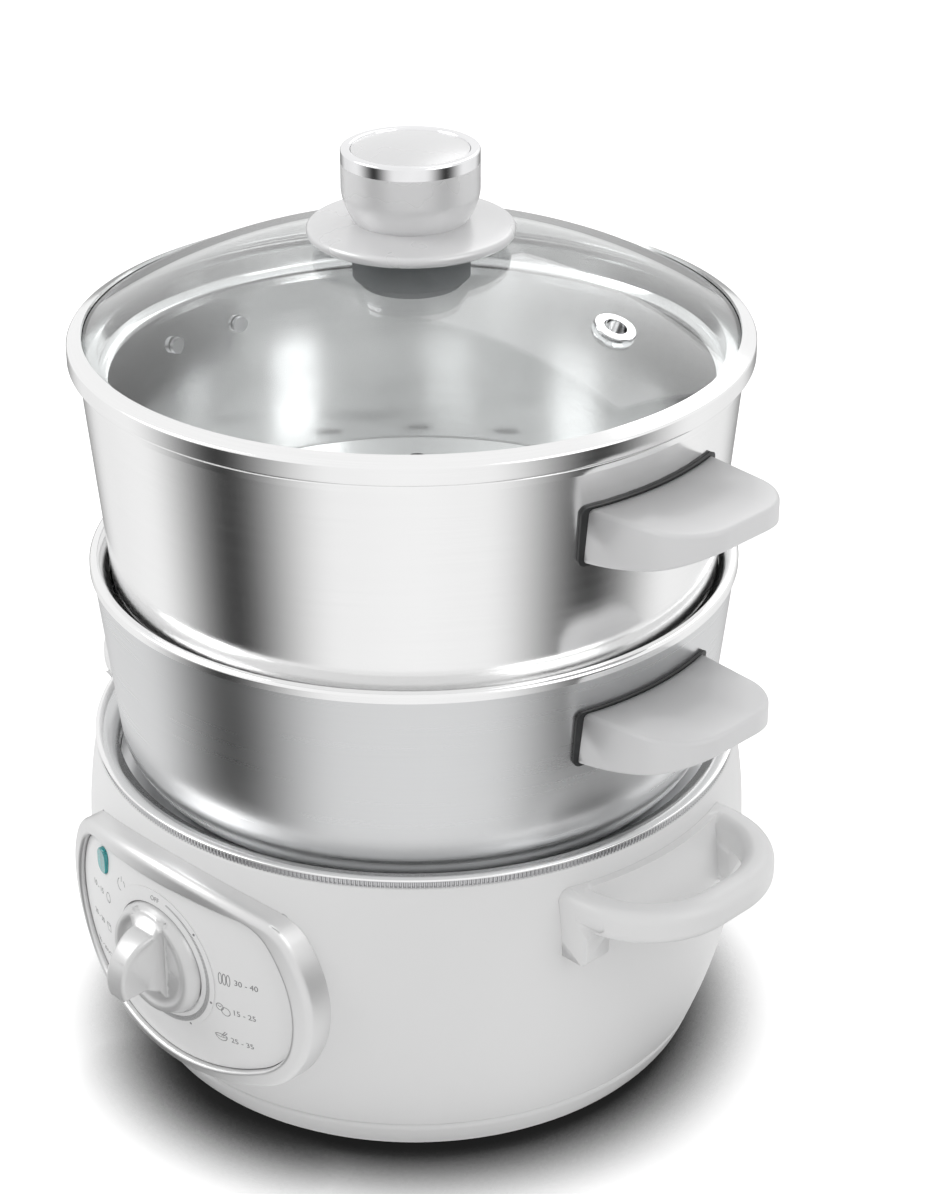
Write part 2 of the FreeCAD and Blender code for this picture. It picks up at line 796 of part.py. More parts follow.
def make_base_housing():
    housing = new_piece("base_housing")
    shelf_bottom = d.housing_top - d.housing_wall
    section = draw_upright(housing)
    outline(section, [
        (housing_radius(d.housing_bottom), d.housing_bottom),
        Bow(d.belly_bow),
        (housing_radius(d.housing_top), d.housing_top),
        (d.shelf_inner_radius, d.housing_top),
        (d.shelf_inner_radius, shelf_bottom),
        (housing_radius(shelf_bottom, -d.housing_wall), shelf_bottom),
        Bow(d.belly_bow - d.housing_wall, outward=False),
        (housing_radius(d.housing_bottom, -d.housing_wall), d.housing_bottom),
    ])
    revolve(housing, section)
    top_edge = housing_radius(d.housing_top).value - d.sheet.value
    smooth_edges(housing, d.housing_edge_round,
                 lambda at, edge: at.z > shelf_bottom.value + 1 and from_axis(at) > top_edge)
    post = draw_level(housing, d.post_bottom, d.post_angle)
    circle(post, d.post_circle, 0, d.post_radius)
    column = pad(housing, post, d.post_top - d.post_bottom)
    web = draw_upright(housing, d.post_angle)
    web_bottom = spigot_top + d.web_bite
    outline(web, [
        (d.post_circle, web_bottom),
        (housing_radius(web_bottom, -d.web_bite), web_bottom),
        (housing_radius(d.post_top, -d.web_bite), d.post_top),
        (d.post_circle, d.post_top),
    ])
    web_pad = pad(housing, web, d.web_thickness, both_ways=True)
    bore = draw_level(housing, d.post_bottom, d.post_angle)
    circle(bore, d.post_circle, 0, d.cover_screw_radius + d.thread_gap)
    bore_cut = pocket(housing, bore, d.post_bore_depth, forward=True)
    repeat_round(housing, [column, web_pad, bore_cut], d.post_count)
    timer_hole = draw_upright(housing)
    circle(timer_hole, 0, d.dial_height, d.timer_opening_radius)
    pocket(housing, timer_hole, forward=True)
    radial_hole(housing, d.lens_angle, d.lens_height, d.lamp_hole_radius)
    seat_back = housing_radius(d.gland_height - d.gland_seat_radius) - d.web_bite
    seat = draw_upright(housing, as_size(REAR), out=seat_back)
    circle(seat, 0, d.gland_height, d.gland_seat_radius)
    pad(housing, seat, gland_seat - seat_back)
    radial_hole(housing, as_size(REAR), d.gland_height, d.gland_radius + d.hole_gap)
    for turn, height, radius, length, head_radius, head_height in panel_screw_places():
        radial_hole(housing, turn, height, radius + d.hole_gap)
    for turn in base_handle_screw_turns():
        radial_hole(housing, turn, d.handle_screw_height, d.handle_screw_radius + d.hole_gap)


def radial_hole(piece, turn, height, radius):
    """A hole straight out through the wall at a direction about the axis."""
    hole = draw_upright(piece, turn)
    circle(hole, 0, height, radius)
    pocket(piece, hole, forward=True)


def radial_screw(piece, turn, height, head_back, head_radius, head_height, radius, length):
    """A screw that points straight out: head_back is its head's distance from the axis."""
    section = draw_upright(piece, turn - FACES_X, rise=height)
    outline(section, [
        (head_back, 0),
        (head_back, head_radius),
        (head_back + head_height, head_radius),
        (head_back + head_height, radius),
        (head_back + head_height + length, radius),
        (head_back + head_height + length, 0),
    ])
    revolve(piece, section, axis="H_Axis")


def base_handle_screw_turns():
    """Directions of the four handle screws, as turns of a plane that faces -Y."""
    turns = []
    for side in BASE_GRIP_SIDES:
        turns.append(d.handle_screw_angle + FACES_X + side)
        turns.append(FACES_X + side - d.handle_screw_angle)
    return turns


def panel_screw_places():
    """Turn, height and sizes of the four screws that hold the bezel."""
    sizes = (d.panel_screw_radius, d.panel_screw_length, d.panel_screw_head_radius, d.panel_screw_head_height)
    return [
        (d.panel_screw_upper_angle, d.panel_screw_upper_height) + sizes,
        (-d.panel_screw_upper_angle, d.panel_screw_upper_height) + sizes,
        (d.panel_screw_lower_angle, d.panel_screw_lower_height) + sizes,
        (-d.panel_screw_lower_angle, d.panel_screw_lower_height) + sizes,
    ]


def make_ribbed_band():
    band = new_piece("ribbed_band")
    top = d.housing_top + d.band_height
    ring_round(band, [
        (d.band_inner_radius, d.housing_top),
        (d.band_outer_radius, d.housing_top),
        (d.band_outer_radius, top),
        (d.band_inner_radius, top),
    ])


def make_water_bowl():
    bowl = new_piece("water_bowl")
    under_flange = flange_top - d.sheet
    step_radius = d.flange_inner_radius - d.ledge_slope
    ring_round(bowl, [
        (d.flange_outer_radius, under_flange, d.flange_edge_round),
        (d.flange_outer_radius, flange_top, d.flange_edge_round),
        (d.flange_inner_radius, flange_top),
        (step_radius, ledge_height),
        (d.riser_radius, ledge_height),
        (d.riser_radius, d.tray_seat),
        (d.bowl_top_radius, d.tray_seat),
        (d.bowl_floor_radius, d.bowl_floor, d.bowl_corner_round),
        (0, d.bowl_floor),
        (0, bowl_underside),
        (d.bowl_floor_radius + d.sheet, bowl_underside, d.bowl_corner_round + d.sheet),
        (d.bowl_top_radius + d.sheet, d.tray_seat - d.sheet),
        (d.riser_radius + d.sheet, d.tray_seat - d.sheet),
        (d.riser_radius + d.sheet, ledge_height - d.sheet),
        (step_radius + d.sheet, ledge_height - d.sheet),
        (d.flange_inner_radius + d.sheet, under_flange),
    ])


def make_heater():
    plate = new_piece("heating_plate")
    plate_bottom = bowl_underside - d.heating_plate_thickness
    disc = draw_level(plate, plate_bottom)
    circle(disc, 0, 0, d.heating_plate_radius)
    pad(plate, disc, d.heating_plate_thickness)

    tube_height = plate_bottom - d.heater_tube_radius - d.skin_gap
    element = doc.addObject("Part::Torus", "heater_tube")
    element.Label = "heater_tube"
    bind(element, "Radius1", d.heater_ring_radius)
    bind(element, "Radius2", d.heater_tube_radius)
    bind(element, "Placement.Base.z", tube_height)
    pieces.append(element)

    clamp = new_piece("heater_clamp")
    strap_top = tube_height - d.heater_tube_radius - d.skin_gap
    strap = draw_level(clamp, strap_top - d.clamp_thickness)
    half_length = d.clamp_length / 2
    half_width = d.clamp_width / 2
    corner = d.clamp_post_radius
    outline(strap, [
        (-half_length, -half_width, corner),
        (half_length, -half_width, corner),
        (half_length, half_width, corner),
        (-half_length, half_width, corner),
    ])
    pad(clamp, strap, d.clamp_thickness)
    post_place = d.heater_ring_radius + d.heater_tube_radius + d.clamp_post_radius + d.hole_gap
    for place in (post_place, -post_place):
        post = draw_level(clamp, strap_top - d.clamp_thickness / 2)
        circle(post, place, 0, d.clamp_post_radius)
        pad(clamp, post, plate_bottom - strap_top + d.clamp_thickness / 2)

    sensor = doc.addObject("Part::Cylinder", "thermostat")
    sensor.Label = "thermostat"
    bind(sensor, "Radius", d.thermostat_radius)
    bind(sensor, "Height", d.thermostat_height)
    bind(sensor, "Placement.Base.z", plate_bottom - d.thermostat_height)
    pieces.append(sensor)

    fuse = doc.addObject("Part::Box", "thermal_fuse")
    fuse.Label = "thermal_fuse"
    bind(fuse, "Length", d.fuse_length)
    bind(fuse, "Width", d.fuse_width)
    bind(fuse, "Height", d.fuse_height)
    bind(fuse, "Placement.Base.x", -d.fuse_length / 2)
    bind(fuse, "Placement.Base.y", d.fuse_offset - d.fuse_width / 2)
    bind(fuse, "Placement.Base.z", plate_bottom - d.fuse_height)
    pieces.append(fuse)


def make_mains_inlet():
    block = new_piece("terminal_block")
    floor = d.foot_height + d.cover_wall
    plan = draw_level(block, floor)
    half_length = d.terminal_length / 2
    near = d.terminal_offset
    far = d.terminal_offset + d.terminal_width
    outline(plan, [(-half_length, near), (half_length, near), (half_length, far), (-half_length, far)])
    pad(block, plan, d.terminal_height)
    way_pitch = d.terminal_length / 3
    for way in (-1, 0, 1):
        entry = draw_upright(block, as_size(REAR))
        circle(entry, way_pitch * way if way else 0, floor + d.terminal_height / 2, d.gland_bore_radius)
        pocket(block, entry, forward=True)

    gland = new_piece("cord_gland")
    section = draw_upright(gland, as_size(REAR - FACES_X), rise=d.gland_height)
    outline(section, [
        (gland_seat - d.gland_depth, d.gland_bore_radius),
        (gland_seat + d.gland_flange_thickness, d.gland_bore_radius),
        (gland_seat + d.gland_flange_thickness, d.gland_flange_radius),
        (gland_seat, d.gland_flange_radius),
        (gland_seat, d.gland_radius),
        (gland_seat - d.gland_depth, d.gland_radius),
    ])
    revolve(gland, section, axis="H_Axis")


def make_base_handle(name, turn):
    handle = new_piece(name, turn=turn)
    bar_bottom = d.handle_top - d.handle_bar_height
    span = d.handle_half_span
    inner_span = span - d.handle_bar_thickness
    inner_reach = d.handle_reach - d.handle_bar_thickness
    inner_round = d.handle_plan_round - d.handle_bar_thickness
    plan = draw_level(handle, bar_bottom)
    outline(plan, [
        (d.handle_root, -span),
        (d.handle_reach, -span, d.handle_plan_round),
        (d.handle_reach, span, d.handle_plan_round),
        (d.handle_root, span),
        (d.handle_root, inner_span),
        (inner_reach, inner_span, inner_round),
        (inner_reach, -inner_span, inner_round),
        (d.handle_root, -inner_span),
    ])
    pad(handle, plan, d.handle_bar_height)

    def long_edge(at, edge):
        level = min(abs(at.z - bar_bottom.value), abs(at.z - d.handle_top.value)) < 0.01
        return at.x > d.handle_root.value + 1 and level
    smooth_edges(handle, d.handle_edge_round, long_edge)
    # each foot is drawn from the side and runs into the bar with a flare
    for out in (-span, inner_span):
        foot = draw_upright(handle, out=out)
        outline(foot, [
            (d.handle_root, d.handle_foot_bottom),
            (d.handle_foot_reach, d.handle_foot_bottom, d.handle_foot_round),
            (d.handle_foot_reach, bar_bottom - d.handle_foot_flare / 2),
            Bow(d.handle_foot_flare * 1.2, outward=False),
            (d.handle_foot_reach + d.handle_foot_flare, bar_bottom + d.handle_edge_round),
            (d.handle_root, bar_bottom + d.handle_edge_round),
        ])
        pad(handle, foot, d.handle_bar_thickness)
    back = draw_upright(handle, as_size(0))
    housing_band(back, d.handle_foot_bottom, d.handle_top, -d.web_bite, d.handle_back_thickness)
    revolve(handle, back, 2 * arc_sine((span - d.handle_edge_round) / housing_radius(d.handle_top)))
    fit = draw_upright(handle)
    low = d.handle_foot_bottom - d.handle_foot_flare
    high = d.handle_top + d.handle_foot_flare
    clear = housing_radius(d.handle_top) - d.handle_root + d.handle_foot_flare
    outline(fit, [
        (housing_radius(low) - clear, low),
        (housing_radius(low, d.skin_gap), low),
        Bow(d.belly_bow + d.skin_gap),
        (housing_radius(high, d.skin_gap), high),
        (housing_radius(low) - clear, high),
    ])
    groove(handle, fit)
    for side in (1, -1):
        bore = draw_upright(handle, d.handle_screw_angle * side + FACES_X,
                            out=housing_radius(d.handle_screw_height) + d.handle_screw_length / 2)
        circle(bore, 0, d.handle_screw_height, d.handle_screw_radius + d.thread_gap)
        pocket(handle, bore, d.handle_screw_length)


def make_base_handle_screws():
    screws = new_piece("base_handle_screws")
    seat = screw_seat(d.handle_screw_height, d.handle_screw_head_radius)
    head_back = seat - d.handle_screw_head_height
    length = d.handle_screw_length / 2 + d.housing_wall
    for turn in base_handle_screw_turns():
        radial_screw(screws, turn, d.handle_screw_height, head_back, d.handle_screw_head_radius,
                     d.handle_screw_head_height, d.handle_screw_radius, length)


# ---------------------------------------------------------------- control panel
def bezel_outline(sketch):
    pillow(sketch, d.bezel_half_width, d.bezel_widest_height, d.bezel_top, d.bezel_bottom,
           d.bezel_side_bow, d.bezel_top_bow, d.bezel_bottom_bow, d.bezel_top_corner, d.bezel_bottom_corner)


def plate_outline(sketch, shrink=0.0):
    """The plate's outline, made smaller all round by shrink."""
    pillow(sketch, d.plate_half_width - shrink, d.plate_widest_height, d.plate_top - shrink,
           d.plate_bottom + shrink, d.plate_side_bow - shrink, d.plate_top_bow - shrink,
           d.plate_bottom_bow - shrink, d.plate_top_corner - shrink, d.plate_bottom_corner - shrink)


def panel_frame(sketch):
    """A rectangle well outside the panel, so that what lies outside an outline can be cut off."""
    side = d.belly_radius
    low = d.bezel_bottom - d.bezel_bottom
    high = d.bezel_top + d.bezel_bottom
    outline(sketch, [(-side, low), (side, low), (side, high), (-side, high)])


def make_control_bezel():
    bezel = new_piece("control_bezel")
    section = draw_upright(bezel, as_size(-FACES_X))
    housing_band(section, d.bezel_bottom - d.bezel_proud, d.bezel_top + d.bezel_outer_round,
                 d.skin_gap, d.bezel_proud)
    revolve(bezel, section, 2 * d.bezel_half_angle)
    outside = draw_upright(bezel)
    panel_frame(outside)
    bezel_outline(outside)
    pocket(bezel, outside, forward=True)

    def on_crest(at, edge):
        crest = housing_radius(as_size(at.z), d.bezel_proud).value
        return abs(from_axis(at) - crest) < 0.05
    smooth_edges(bezel, d.bezel_outer_round, on_crest)
    inside = draw_upright(bezel)
    plate_outline(inside)
    pocket(bezel, inside, forward=True)
    smooth_edges(bezel, d.bezel_inner_round, on_crest)
    for turn, height, radius, length, head_radius, head_height in panel_screw_places():
        bore = draw_upright(bezel, turn, out=housing_radius(height, -d.housing_wall))
        circle(bore, 0, height, radius + d.thread_gap)
        pocket(bezel, bore, length + d.hole_gap, forward=True)


def make_panel_screws():
    screws = new_piece("panel_screws")
    for turn, height, radius, length, head_radius, head_height in panel_screw_places():
        head_back = screw_seat(height, head_radius) - head_height
        radial_screw(screws, turn, height, head_back, head_radius, head_height, radius, length)


def make_control_plate():
    plate = new_piece("control_plate")
    section = draw_upright(plate, as_size(-FACES_X))
    housing_band(section, d.plate_bottom - d.plate_thickness, d.plate_top + d.plate_thickness,
                 d.plate_proud - d.plate_thickness, d.plate_proud)
    revolve(plate, section, 2 * d.bezel_half_angle)
    outside = draw_upright(plate)
    panel_frame(outside)
    plate_outline(outside, d.plate_gap)
    pocket(plate, outside, forward=True)
    recess = draw_upright(plate, out=plate_front - d.dial_recess)
    circle(recess, 0, d.dial_height, d.dial_radius)
    pocket(plate, recess, forward=True)
    neck_hole = draw_upright(plate)
    circle(neck_hole, 0, d.dial_height, d.timer_neck_radius + d.lens_gap)
    pocket(plate, neck_hole, forward=True)
    lens_hole = draw_upright(plate, d.lens_angle)
    lens_outline(lens_hole, d.lens_gap)
    pocket(plate, lens_hole, forward=True)


def make_dial_ring():
    ring = new_piece("dial_ring")
    section = draw_upright(ring, as_size(-FACES_X))
    housing_band(section, d.dial_height - d.dial_ring_radius - d.dial_recess,
                 d.dial_height + d.dial_ring_radius + d.dial_recess,
                 d.plate_proud + d.skin_gap, d.plate_proud + d.dial_ring_proud)
    revolve(ring, section, 2 * d.bezel_half_angle)
    outside = draw_upright(ring)
    panel_frame(outside)
    circle(outside, 0, d.dial_height, d.dial_ring_radius)
    pocket(ring, outside, forward=True)
    inside = draw_upright(ring)
    circle(inside, 0, d.dial_height, d.dial_radius)
    pocket(ring, inside, forward=True)


def lens_outline(sketch, grow):
    half_width = d.lens_half_width + grow
    half_height = d.lens_half_height + grow
    corner = d.lens_round + grow
    outline(sketch, [
        (-half_width, d.lens_height - half_height, corner),
        (half_width, d.lens_height - half_height, corner),
        (half_width, d.lens_height + half_height, corner),
        (-half_width, d.lens_height + half_height, corner),
    ])


def make_indicator():
    lens = new_piece("indicator_lens", turn=d.lens_angle)
    face = draw_upright(lens, out=lens_back + d.plate_gap)
    lens_outline(face, as_size(0))
    pad(lens, face, lens_front - lens_back - d.plate_gap)
    front = -lens_front.value
    smooth_edges(lens, d.lens_edge_round, lambda at, edge: abs(at.y - front) < 0.01)

    lamp = new_piece("indicator_lamp", turn=d.lens_angle)
    bulb = draw_upright(lamp, out=lens_back - d.lamp_length)
    circle(bulb, 0, d.lens_height, d.lamp_radius)
    pad(lamp, bulb, d.lamp_length)


def make_timer():
    timer = new_piece("timer_body")
    drum = draw_upright(timer, out=timer_back)
    circle(drum, 0, d.dial_height, d.timer_radius)
    pad(timer, drum, timer_front - timer_back)
    neck = draw_upright(timer, out=timer_front - d.plate_gap)
    circle(neck, 0, d.dial_height, d.timer_neck_radius)
    pad(timer, neck, plate_front + d.timer_neck_proud - timer_front + d.plate_gap)
    bore = draw_upright(timer, out=plate_front + d.timer_neck_proud)
    circle(bore, 0, d.dial_height, d.shaft_radius + d.shaft_gap)
    pocket(timer, bore, d.shaft_socket_depth + d.timer_neck_proud + d.knob_lift)

    nut = new_piece("timer_nut")
    hexagon = draw_upright(nut, out=plate_front - d.dial_recess)
    corners = []
    for step in range(6):
        angle = math.radians(60 * step + 30)
        across = d.nut_radius * math.cos(angle) if step % 3 != 1 else 0
        corners.append((across, d.dial_height + d.nut_radius * math.sin(angle)))
    outline(hexagon, corners)
    circle(hexagon, 0, d.dial_height, d.timer_neck_radius + d.skin_gap)
    pad(nut, hexagon, d.nut_thickness)

    bell = new_piece("timer_bell")
    cup = draw_upright(bell, out=bell_back)
    circle(cup, 0, d.dial_height, d.bell_radius)
    pad(bell, cup, d.bell_depth)
    rear = -bell_back.value
    smooth_edges(bell, d.bezel_inner_round, lambda at, edge: abs(at.y - rear) < 0.1)


# ---------------------------------------------------------------- timer knob
def knob_piece(name):
    """A body whose own z points out of the panel from the plate's front, at the dial's centre."""
    piece = new_piece(name)
    piece.Placement = FreeCAD.Placement(V(0, 0, 0), FreeCAD.Rotation(V(1, 0, 0), 90))
    bind(piece, "Placement.Base.y", -plate_front)
    bind(piece, "Placement.Base.z", d.dial_height)
    return piece


def draw_side(piece):
    """A sketch in the knob's own mirror plane: x up the panel, y out of it."""
    sketch = piece.newObject("Sketcher::SketchObject", piece.Name + "_side")
    sketch.AttachmentSupport = [(origin_feature(piece, "YZ_Plane"), "")]
    sketch.MapMode = "FlatFace"
    return sketch


def make_timer_knob():
    knob = knob_piece("timer_knob")
    skirt_bottom = d.knob_lift - d.dial_recess
    ceiling = d.knob_floor - d.knob_floor_thickness
    inner = d.knob_radius - d.knob_wall
    rim_inner = d.knob_rim_radius - d.knob_rim_width
    section = draw_upright(knob)
    outline(section, [
        (0, ceiling),
        (inner, ceiling),
        (inner, skirt_bottom),
        (d.knob_radius, skirt_bottom),
        (d.knob_radius, 0),
        (d.knob_rim_radius, d.knob_rim_height),
        (rim_inner, d.knob_rim_height),
        (rim_inner - d.knob_rim_width / 2, d.knob_floor + d.knob_lift),
        (0, d.knob_floor),
    ])
    revolve(knob, section)
    side = draw_side(knob)
    fin_root = d.knob_floor - d.knob_floor_thickness / 2
    outline(side, [
        (d.knob_rim_radius, fin_root),
        (d.knob_rim_radius, d.knob_rim_height),
        (d.fin_shoulder, d.fin_shoulder_height),
        Bow(d.fin_crest_bow),
        (-d.fin_end, d.fin_crest),
        (-d.fin_end, d.fin_end_height),
        (-d.fin_end_foot, fin_root),
    ])
    pad(knob, side, 2 * d.fin_flare, both_ways=True)
    plan = draw_level(knob, d.knob_rim_height / 2 + d.knob_floor / 2)
    reach = d.knob_radius * 1.2
    outline(plan, [(-reach, -reach), (reach, -reach), (reach, reach), (-reach, reach)])
    outline(plan, [
        (-d.fin_half_width, -d.fin_end_foot),
        (d.fin_half_width, -d.fin_end_foot),
        (d.fin_half_width, d.fin_waist_top),
        Bow(d.fin_flare_bow, outward=False),
        (d.fin_flare, d.fin_flare_height),
        Bow(d.knob_rim_radius),
        (-d.fin_flare, d.fin_flare_height),
        Bow(d.fin_flare_bow, outward=False),
        (-d.fin_half_width, d.fin_waist_top),
    ])
    pocket(knob, plan, forward=True)
    crest_low = d.knob_rim_height.value + 0.3

    def on_crest(at, edge):
        return at.z > crest_low and abs(at.x) > d.fin_half_width.value - 0.1 and edge.Length > 3
    smooth_edges(knob, d.fin_edge_round, on_crest)
    socket = draw_level(knob, skirt_bottom)
    circle(socket, 0, 0, d.shaft_radius + d.shaft_gap)
    pocket(knob, socket, d.shaft_rise + d.hole_gap - skirt_bottom, forward=True)


def make_timer_shaft():
    shaft = knob_piece("timer_shaft")
    rod = draw_level(shaft, -d.shaft_socket_depth)
    circle(rod, 0, 0, d.shaft_radius)
    pad(shaft, rod, d.shaft_socket_depth + d.shaft_rise)


# ---------------------------------------------------------------- perforated floors
def make_grid(name, height, radius, pitch):
    """A round floor with a centre hole and four rings of holes, six more in each ring."""
    grid = new_piece(name, lift=height)
    disc = draw_level(grid)
    circle(disc, 0, 0, radius)
    circle(disc, 0, 0, d.grid_centre_radius)
    pad(grid, disc, d.grid_thickness)
    for ring in (1, 2, 3, 4):
        hole = draw_level(grid)
        circle(hole, pitch * ring, 0, d.grid_hole_radius)
        cut = pocket(grid, hole, d.grid_thickness, forward=True)
        repeat_round(grid, [cut], as_size(6 * ring))


# ---------------------------------------------------------------- steam tray
tray_rest = d.tray_seat + d.seat_gap
tray_inner_top = d.bowl_top_radius - d.tray_top_gap - d.sheet


def make_steam_tray():
    tray = new_piece("tray_shell")
    inner_floor = tray_floor_radius - d.sheet
    flange = inner_floor - d.tray_flange
    ring_round(tray, [
        (d.riser_radius - d.tray_rim_gap, tray_rest),
        (d.riser_radius - d.tray_rim_gap, tray_rest + d.sheet),
        (tray_inner_top, tray_rest + d.sheet),
        (inner_floor, d.tray_floor + d.sheet, d.tray_corner_round - d.sheet),
        (flange, d.tray_floor + d.sheet),
        (flange, d.tray_floor),
        (tray_floor_radius, d.tray_floor, d.tray_corner_round),
        (tray_inner_top + d.sheet, tray_rest),
    ])
    grid_radius = inner_floor - d.tray_corner_round + d.sheet - d.skin_gap
    make_grid("tray_grid", d.tray_floor + d.sheet, grid_radius, d.tray_grid_pitch)


# ---------------------------------------------------------------- baskets
class Tier:
    """The sizes in which the two baskets differ, and where each one stands."""

    def __init__(self, name, floor_radius, corner, flange, pitch):
        self.name = name
        self.floor_radius = floor_radius
        self.corner = corner
        self.flange = flange
        self.pitch = pitch
        self.shell_top = d.tier_height - d.sheet - d.rim_shell_gap
        self.slope = (d.shell_top_radius - floor_radius) / self.shell_top
        self.rest = None

    def wall(self, height):
        """The wall's outside at a height above the basket's own bottom."""
        return self.floor_radius + self.slope * height

    def corner_centre(self):
        """How far from the axis the round bottom corner begins."""
        return (self.floor_radius + self.corner * self.slope
                - self.corner * root(1 + self.slope * self.slope))


lower = Tier("lower", d.lower_floor_radius, d.lower_corner_round, d.lower_flange, d.lower_grid_pitch)
upper = Tier("upper", d.upper_floor_radius, d.upper_corner_round, d.upper_flange, d.upper_grid_pitch)
# the lower basket's round corner drops into the tray until it meets the tray's inner edge
corner_reach = tray_inner_top - lower.corner_centre()
corner_drop = lower.corner - root(lower.corner * lower.corner - corner_reach * corner_reach)
lower.rest = tray_rest + d.sheet + d.seat_gap - corner_drop
upper.rest = lower.rest + d.tier_height - d.rim_ledge_drop + d.seat_gap
lid_rest = upper.rest + d.tier_height + d.seat_gap


def grip_screw_turns():
    return [d.grip_screw_angle + FACES_X, FACES_X - d.grip_screw_angle,
            d.grip_screw_angle + FACES_X + REAR, FACES_X + REAR - d.grip_screw_angle]


grip_top = d.tier_height - d.grip_drop
grip_bottom = grip_top - d.grip_root_height
grip_screw_height = (grip_top + grip_bottom) / 2


def make_basket_shell(tier):
    shell = new_piece(tier.name + "_shell", lift=tier.rest)
    flange_radius = tier.floor_radius - tier.flange
    ring_round(shell, [
        (flange_radius, 0),
        (tier.floor_radius, 0, tier.corner),
        (tier.wall(tier.shell_top), tier.shell_top),
        (tier.wall(tier.shell_top) - d.sheet, tier.shell_top),
        (tier.wall(d.sheet) - d.sheet, d.sheet, tier.corner - d.sheet),
        (flange_radius, d.sheet),
    ])
    for turn in grip_screw_turns():
        radial_hole(shell, turn, grip_screw_height, d.grip_screw_radius + d.hole_gap)


def make_basket_rim(tier):
    rim = new_piece(tier.name + "_rim", lift=tier.rest)
    top = d.tier_height
    skirt_inner = d.rim_radius - d.rim_skirt_thickness
    crown_inner = d.rim_radius - d.rim_crown_width
    riser = d.rim_riser_radius
    ledge = top - d.rim_ledge_drop
    ledge_inner = riser - d.rim_ledge_width
    slope_end = top - d.rim_slope_drop
    ring_round(rim, [
        (d.rim_radius, top - d.rim_skirt),
        (d.rim_radius, top, d.rim_outer_round),
        (crown_inner, top, d.rim_inner_round),
        (riser, slope_end),
        (riser, ledge),
        (ledge_inner, ledge),
        (ledge_inner, ledge - d.rim_lip),
        (ledge_inner + d.sheet, ledge - d.rim_lip),
        (ledge_inner + d.sheet, ledge - d.sheet),
        (riser + d.sheet, ledge - d.sheet),
        (riser + d.sheet, slope_end - d.sheet / 2),
        (crown_inner + d.sheet / 2, top - d.sheet),
        (skirt_inner, top - d.sheet),
        (skirt_inner, top - d.rim_skirt),
    ])


def make_basket_grip(tier, side, turn):
    grip = new_piece("%s_handle_%s" % (tier.name, side), lift=tier.rest, turn=turn)
    profile = draw_upright(grip)
    outline(profile, [
        (d.grip_root, grip_bottom),
        Bow(d.grip_belly_bow),
        (d.grip_reach, grip_top - d.grip_tip_height),
        (d.grip_reach, grip_top),
        (d.grip_root, grip_top),
    ])
    pad(grip, profile, 4 * d.grip_half_width, both_ways=True)
    plan = draw_level(grip, grip_bottom - d.grip_edge_round)
    side_reach = 2 * d.grip_half_width + d.grip_plan_round
    far = d.grip_reach + d.grip_plan_round
    near = d.grip_root - d.grip_plan_round
    end = d.grip_root - d.grip_edge_round
    outline(plan, [(near, -side_reach), (far, -side_reach), (far, side_reach), (near, side_reach)])
    outline(plan, [
        (end, -d.grip_half_width),
        (d.grip_reach, -d.grip_tip_half_width, d.grip_plan_round),
        (d.grip_reach, d.grip_tip_half_width, d.grip_plan_round),
        (end, d.grip_half_width),
    ])
    pocket(grip, plan, d.grip_root_height + 2 * d.grip_edge_round, forward=True)

    def long_edge(at, edge):
        upright = edge.BoundBox.ZLength > 0.9 * edge.Length and edge.BoundBox.ZLength > 3
        return at.x > d.grip_root.value + 1 and not upright
    smooth_edges(grip, d.grip_edge_round, long_edge)
    fit = draw_upright(grip)
    low = grip_bottom - d.grip_edge_round
    high = grip_top + d.grip_edge_round
    skin = d.gasket_thickness + 2 * d.skin_gap
    outline(fit, [
        (d.grip_root - d.grip_plan_round, low),
        (tier.wall(low) + skin, low),
        (tier.wall(high) + skin, high),
        (d.grip_root - d.grip_plan_round, high),
    ])
    groove(grip, fit)
    for direction in (1, -1):
        bore = draw_upright(grip, d.grip_screw_angle * direction + FACES_X,
                            out=tier.wall(grip_screw_height) + d.grip_screw_length + d.hole_gap)
        circle(bore, 0, grip_screw_height, d.grip_screw_radius + d.thread_gap)
        pocket(grip, bore, d.grip_screw_length * 2)


def make_grip_gasket(tier, side, turn):
    gasket = new_piece("%s_gasket_%s" % (tier.name, side), lift=tier.rest, turn=turn)
    low = grip_bottom - d.gasket_margin
    high = grip_top + d.gasket_margin
    section = draw_upright(gasket)
    inner = d.skin_gap
    outer = d.skin_gap + d.gasket_thickness
    outline(section, [
        (tier.wall(low) + inner, low),
        (tier.wall(low) + outer, low),
        (tier.wall(high) + outer, high),
        (tier.wall(high) + inner, high),
    ])
    half_angle = arc_sine((d.grip_half_width + d.gasket_margin) / tier.wall(grip_screw_height))
    revolve(gasket, section, 2 * half_angle)

    def corner_edge(at, edge):
        return edge.Length < 2 * d.gasket_thickness.value
    smooth_edges(gasket, d.gasket_corner_round, corner_edge)
    for direction in (1, -1):
        radial_hole(gasket, d.grip_screw_angle * direction + FACES_X, grip_screw_height,
                    d.grip_screw_radius + d.hole_gap)


def make_grip_screws(tier):
    screws = new_piece(tier.name + "_handle_screws", lift=tier.rest)
    inner = tier.wall(grip_screw_height) - d.sheet
    head_back = inner - d.grip_screw_head_gap - d.grip_screw_head_height
    for turn in grip_screw_turns():
        radial_screw(screws, turn, grip_screw_height, head_back, d.grip_screw_head_radius,
                     d.grip_screw_head_height, d.grip_screw_radius, d.grip_screw_length)


def make_basket(tier):
    make_basket_shell(tier)
    make_basket_rim(tier)
    grid_radius = tier.corner_centre() - d.grid_edge_gap
    make_grid(tier.name + "_grid", tier.rest + d.sheet, grid_radius, tier.pitch)
    for side, turn in (("right", 0.0), ("left", 180.0)):
        make_basket_grip(tier, side, turn)
        make_grip_gasket(tier, side, turn)
    make_grip_screws(tier)


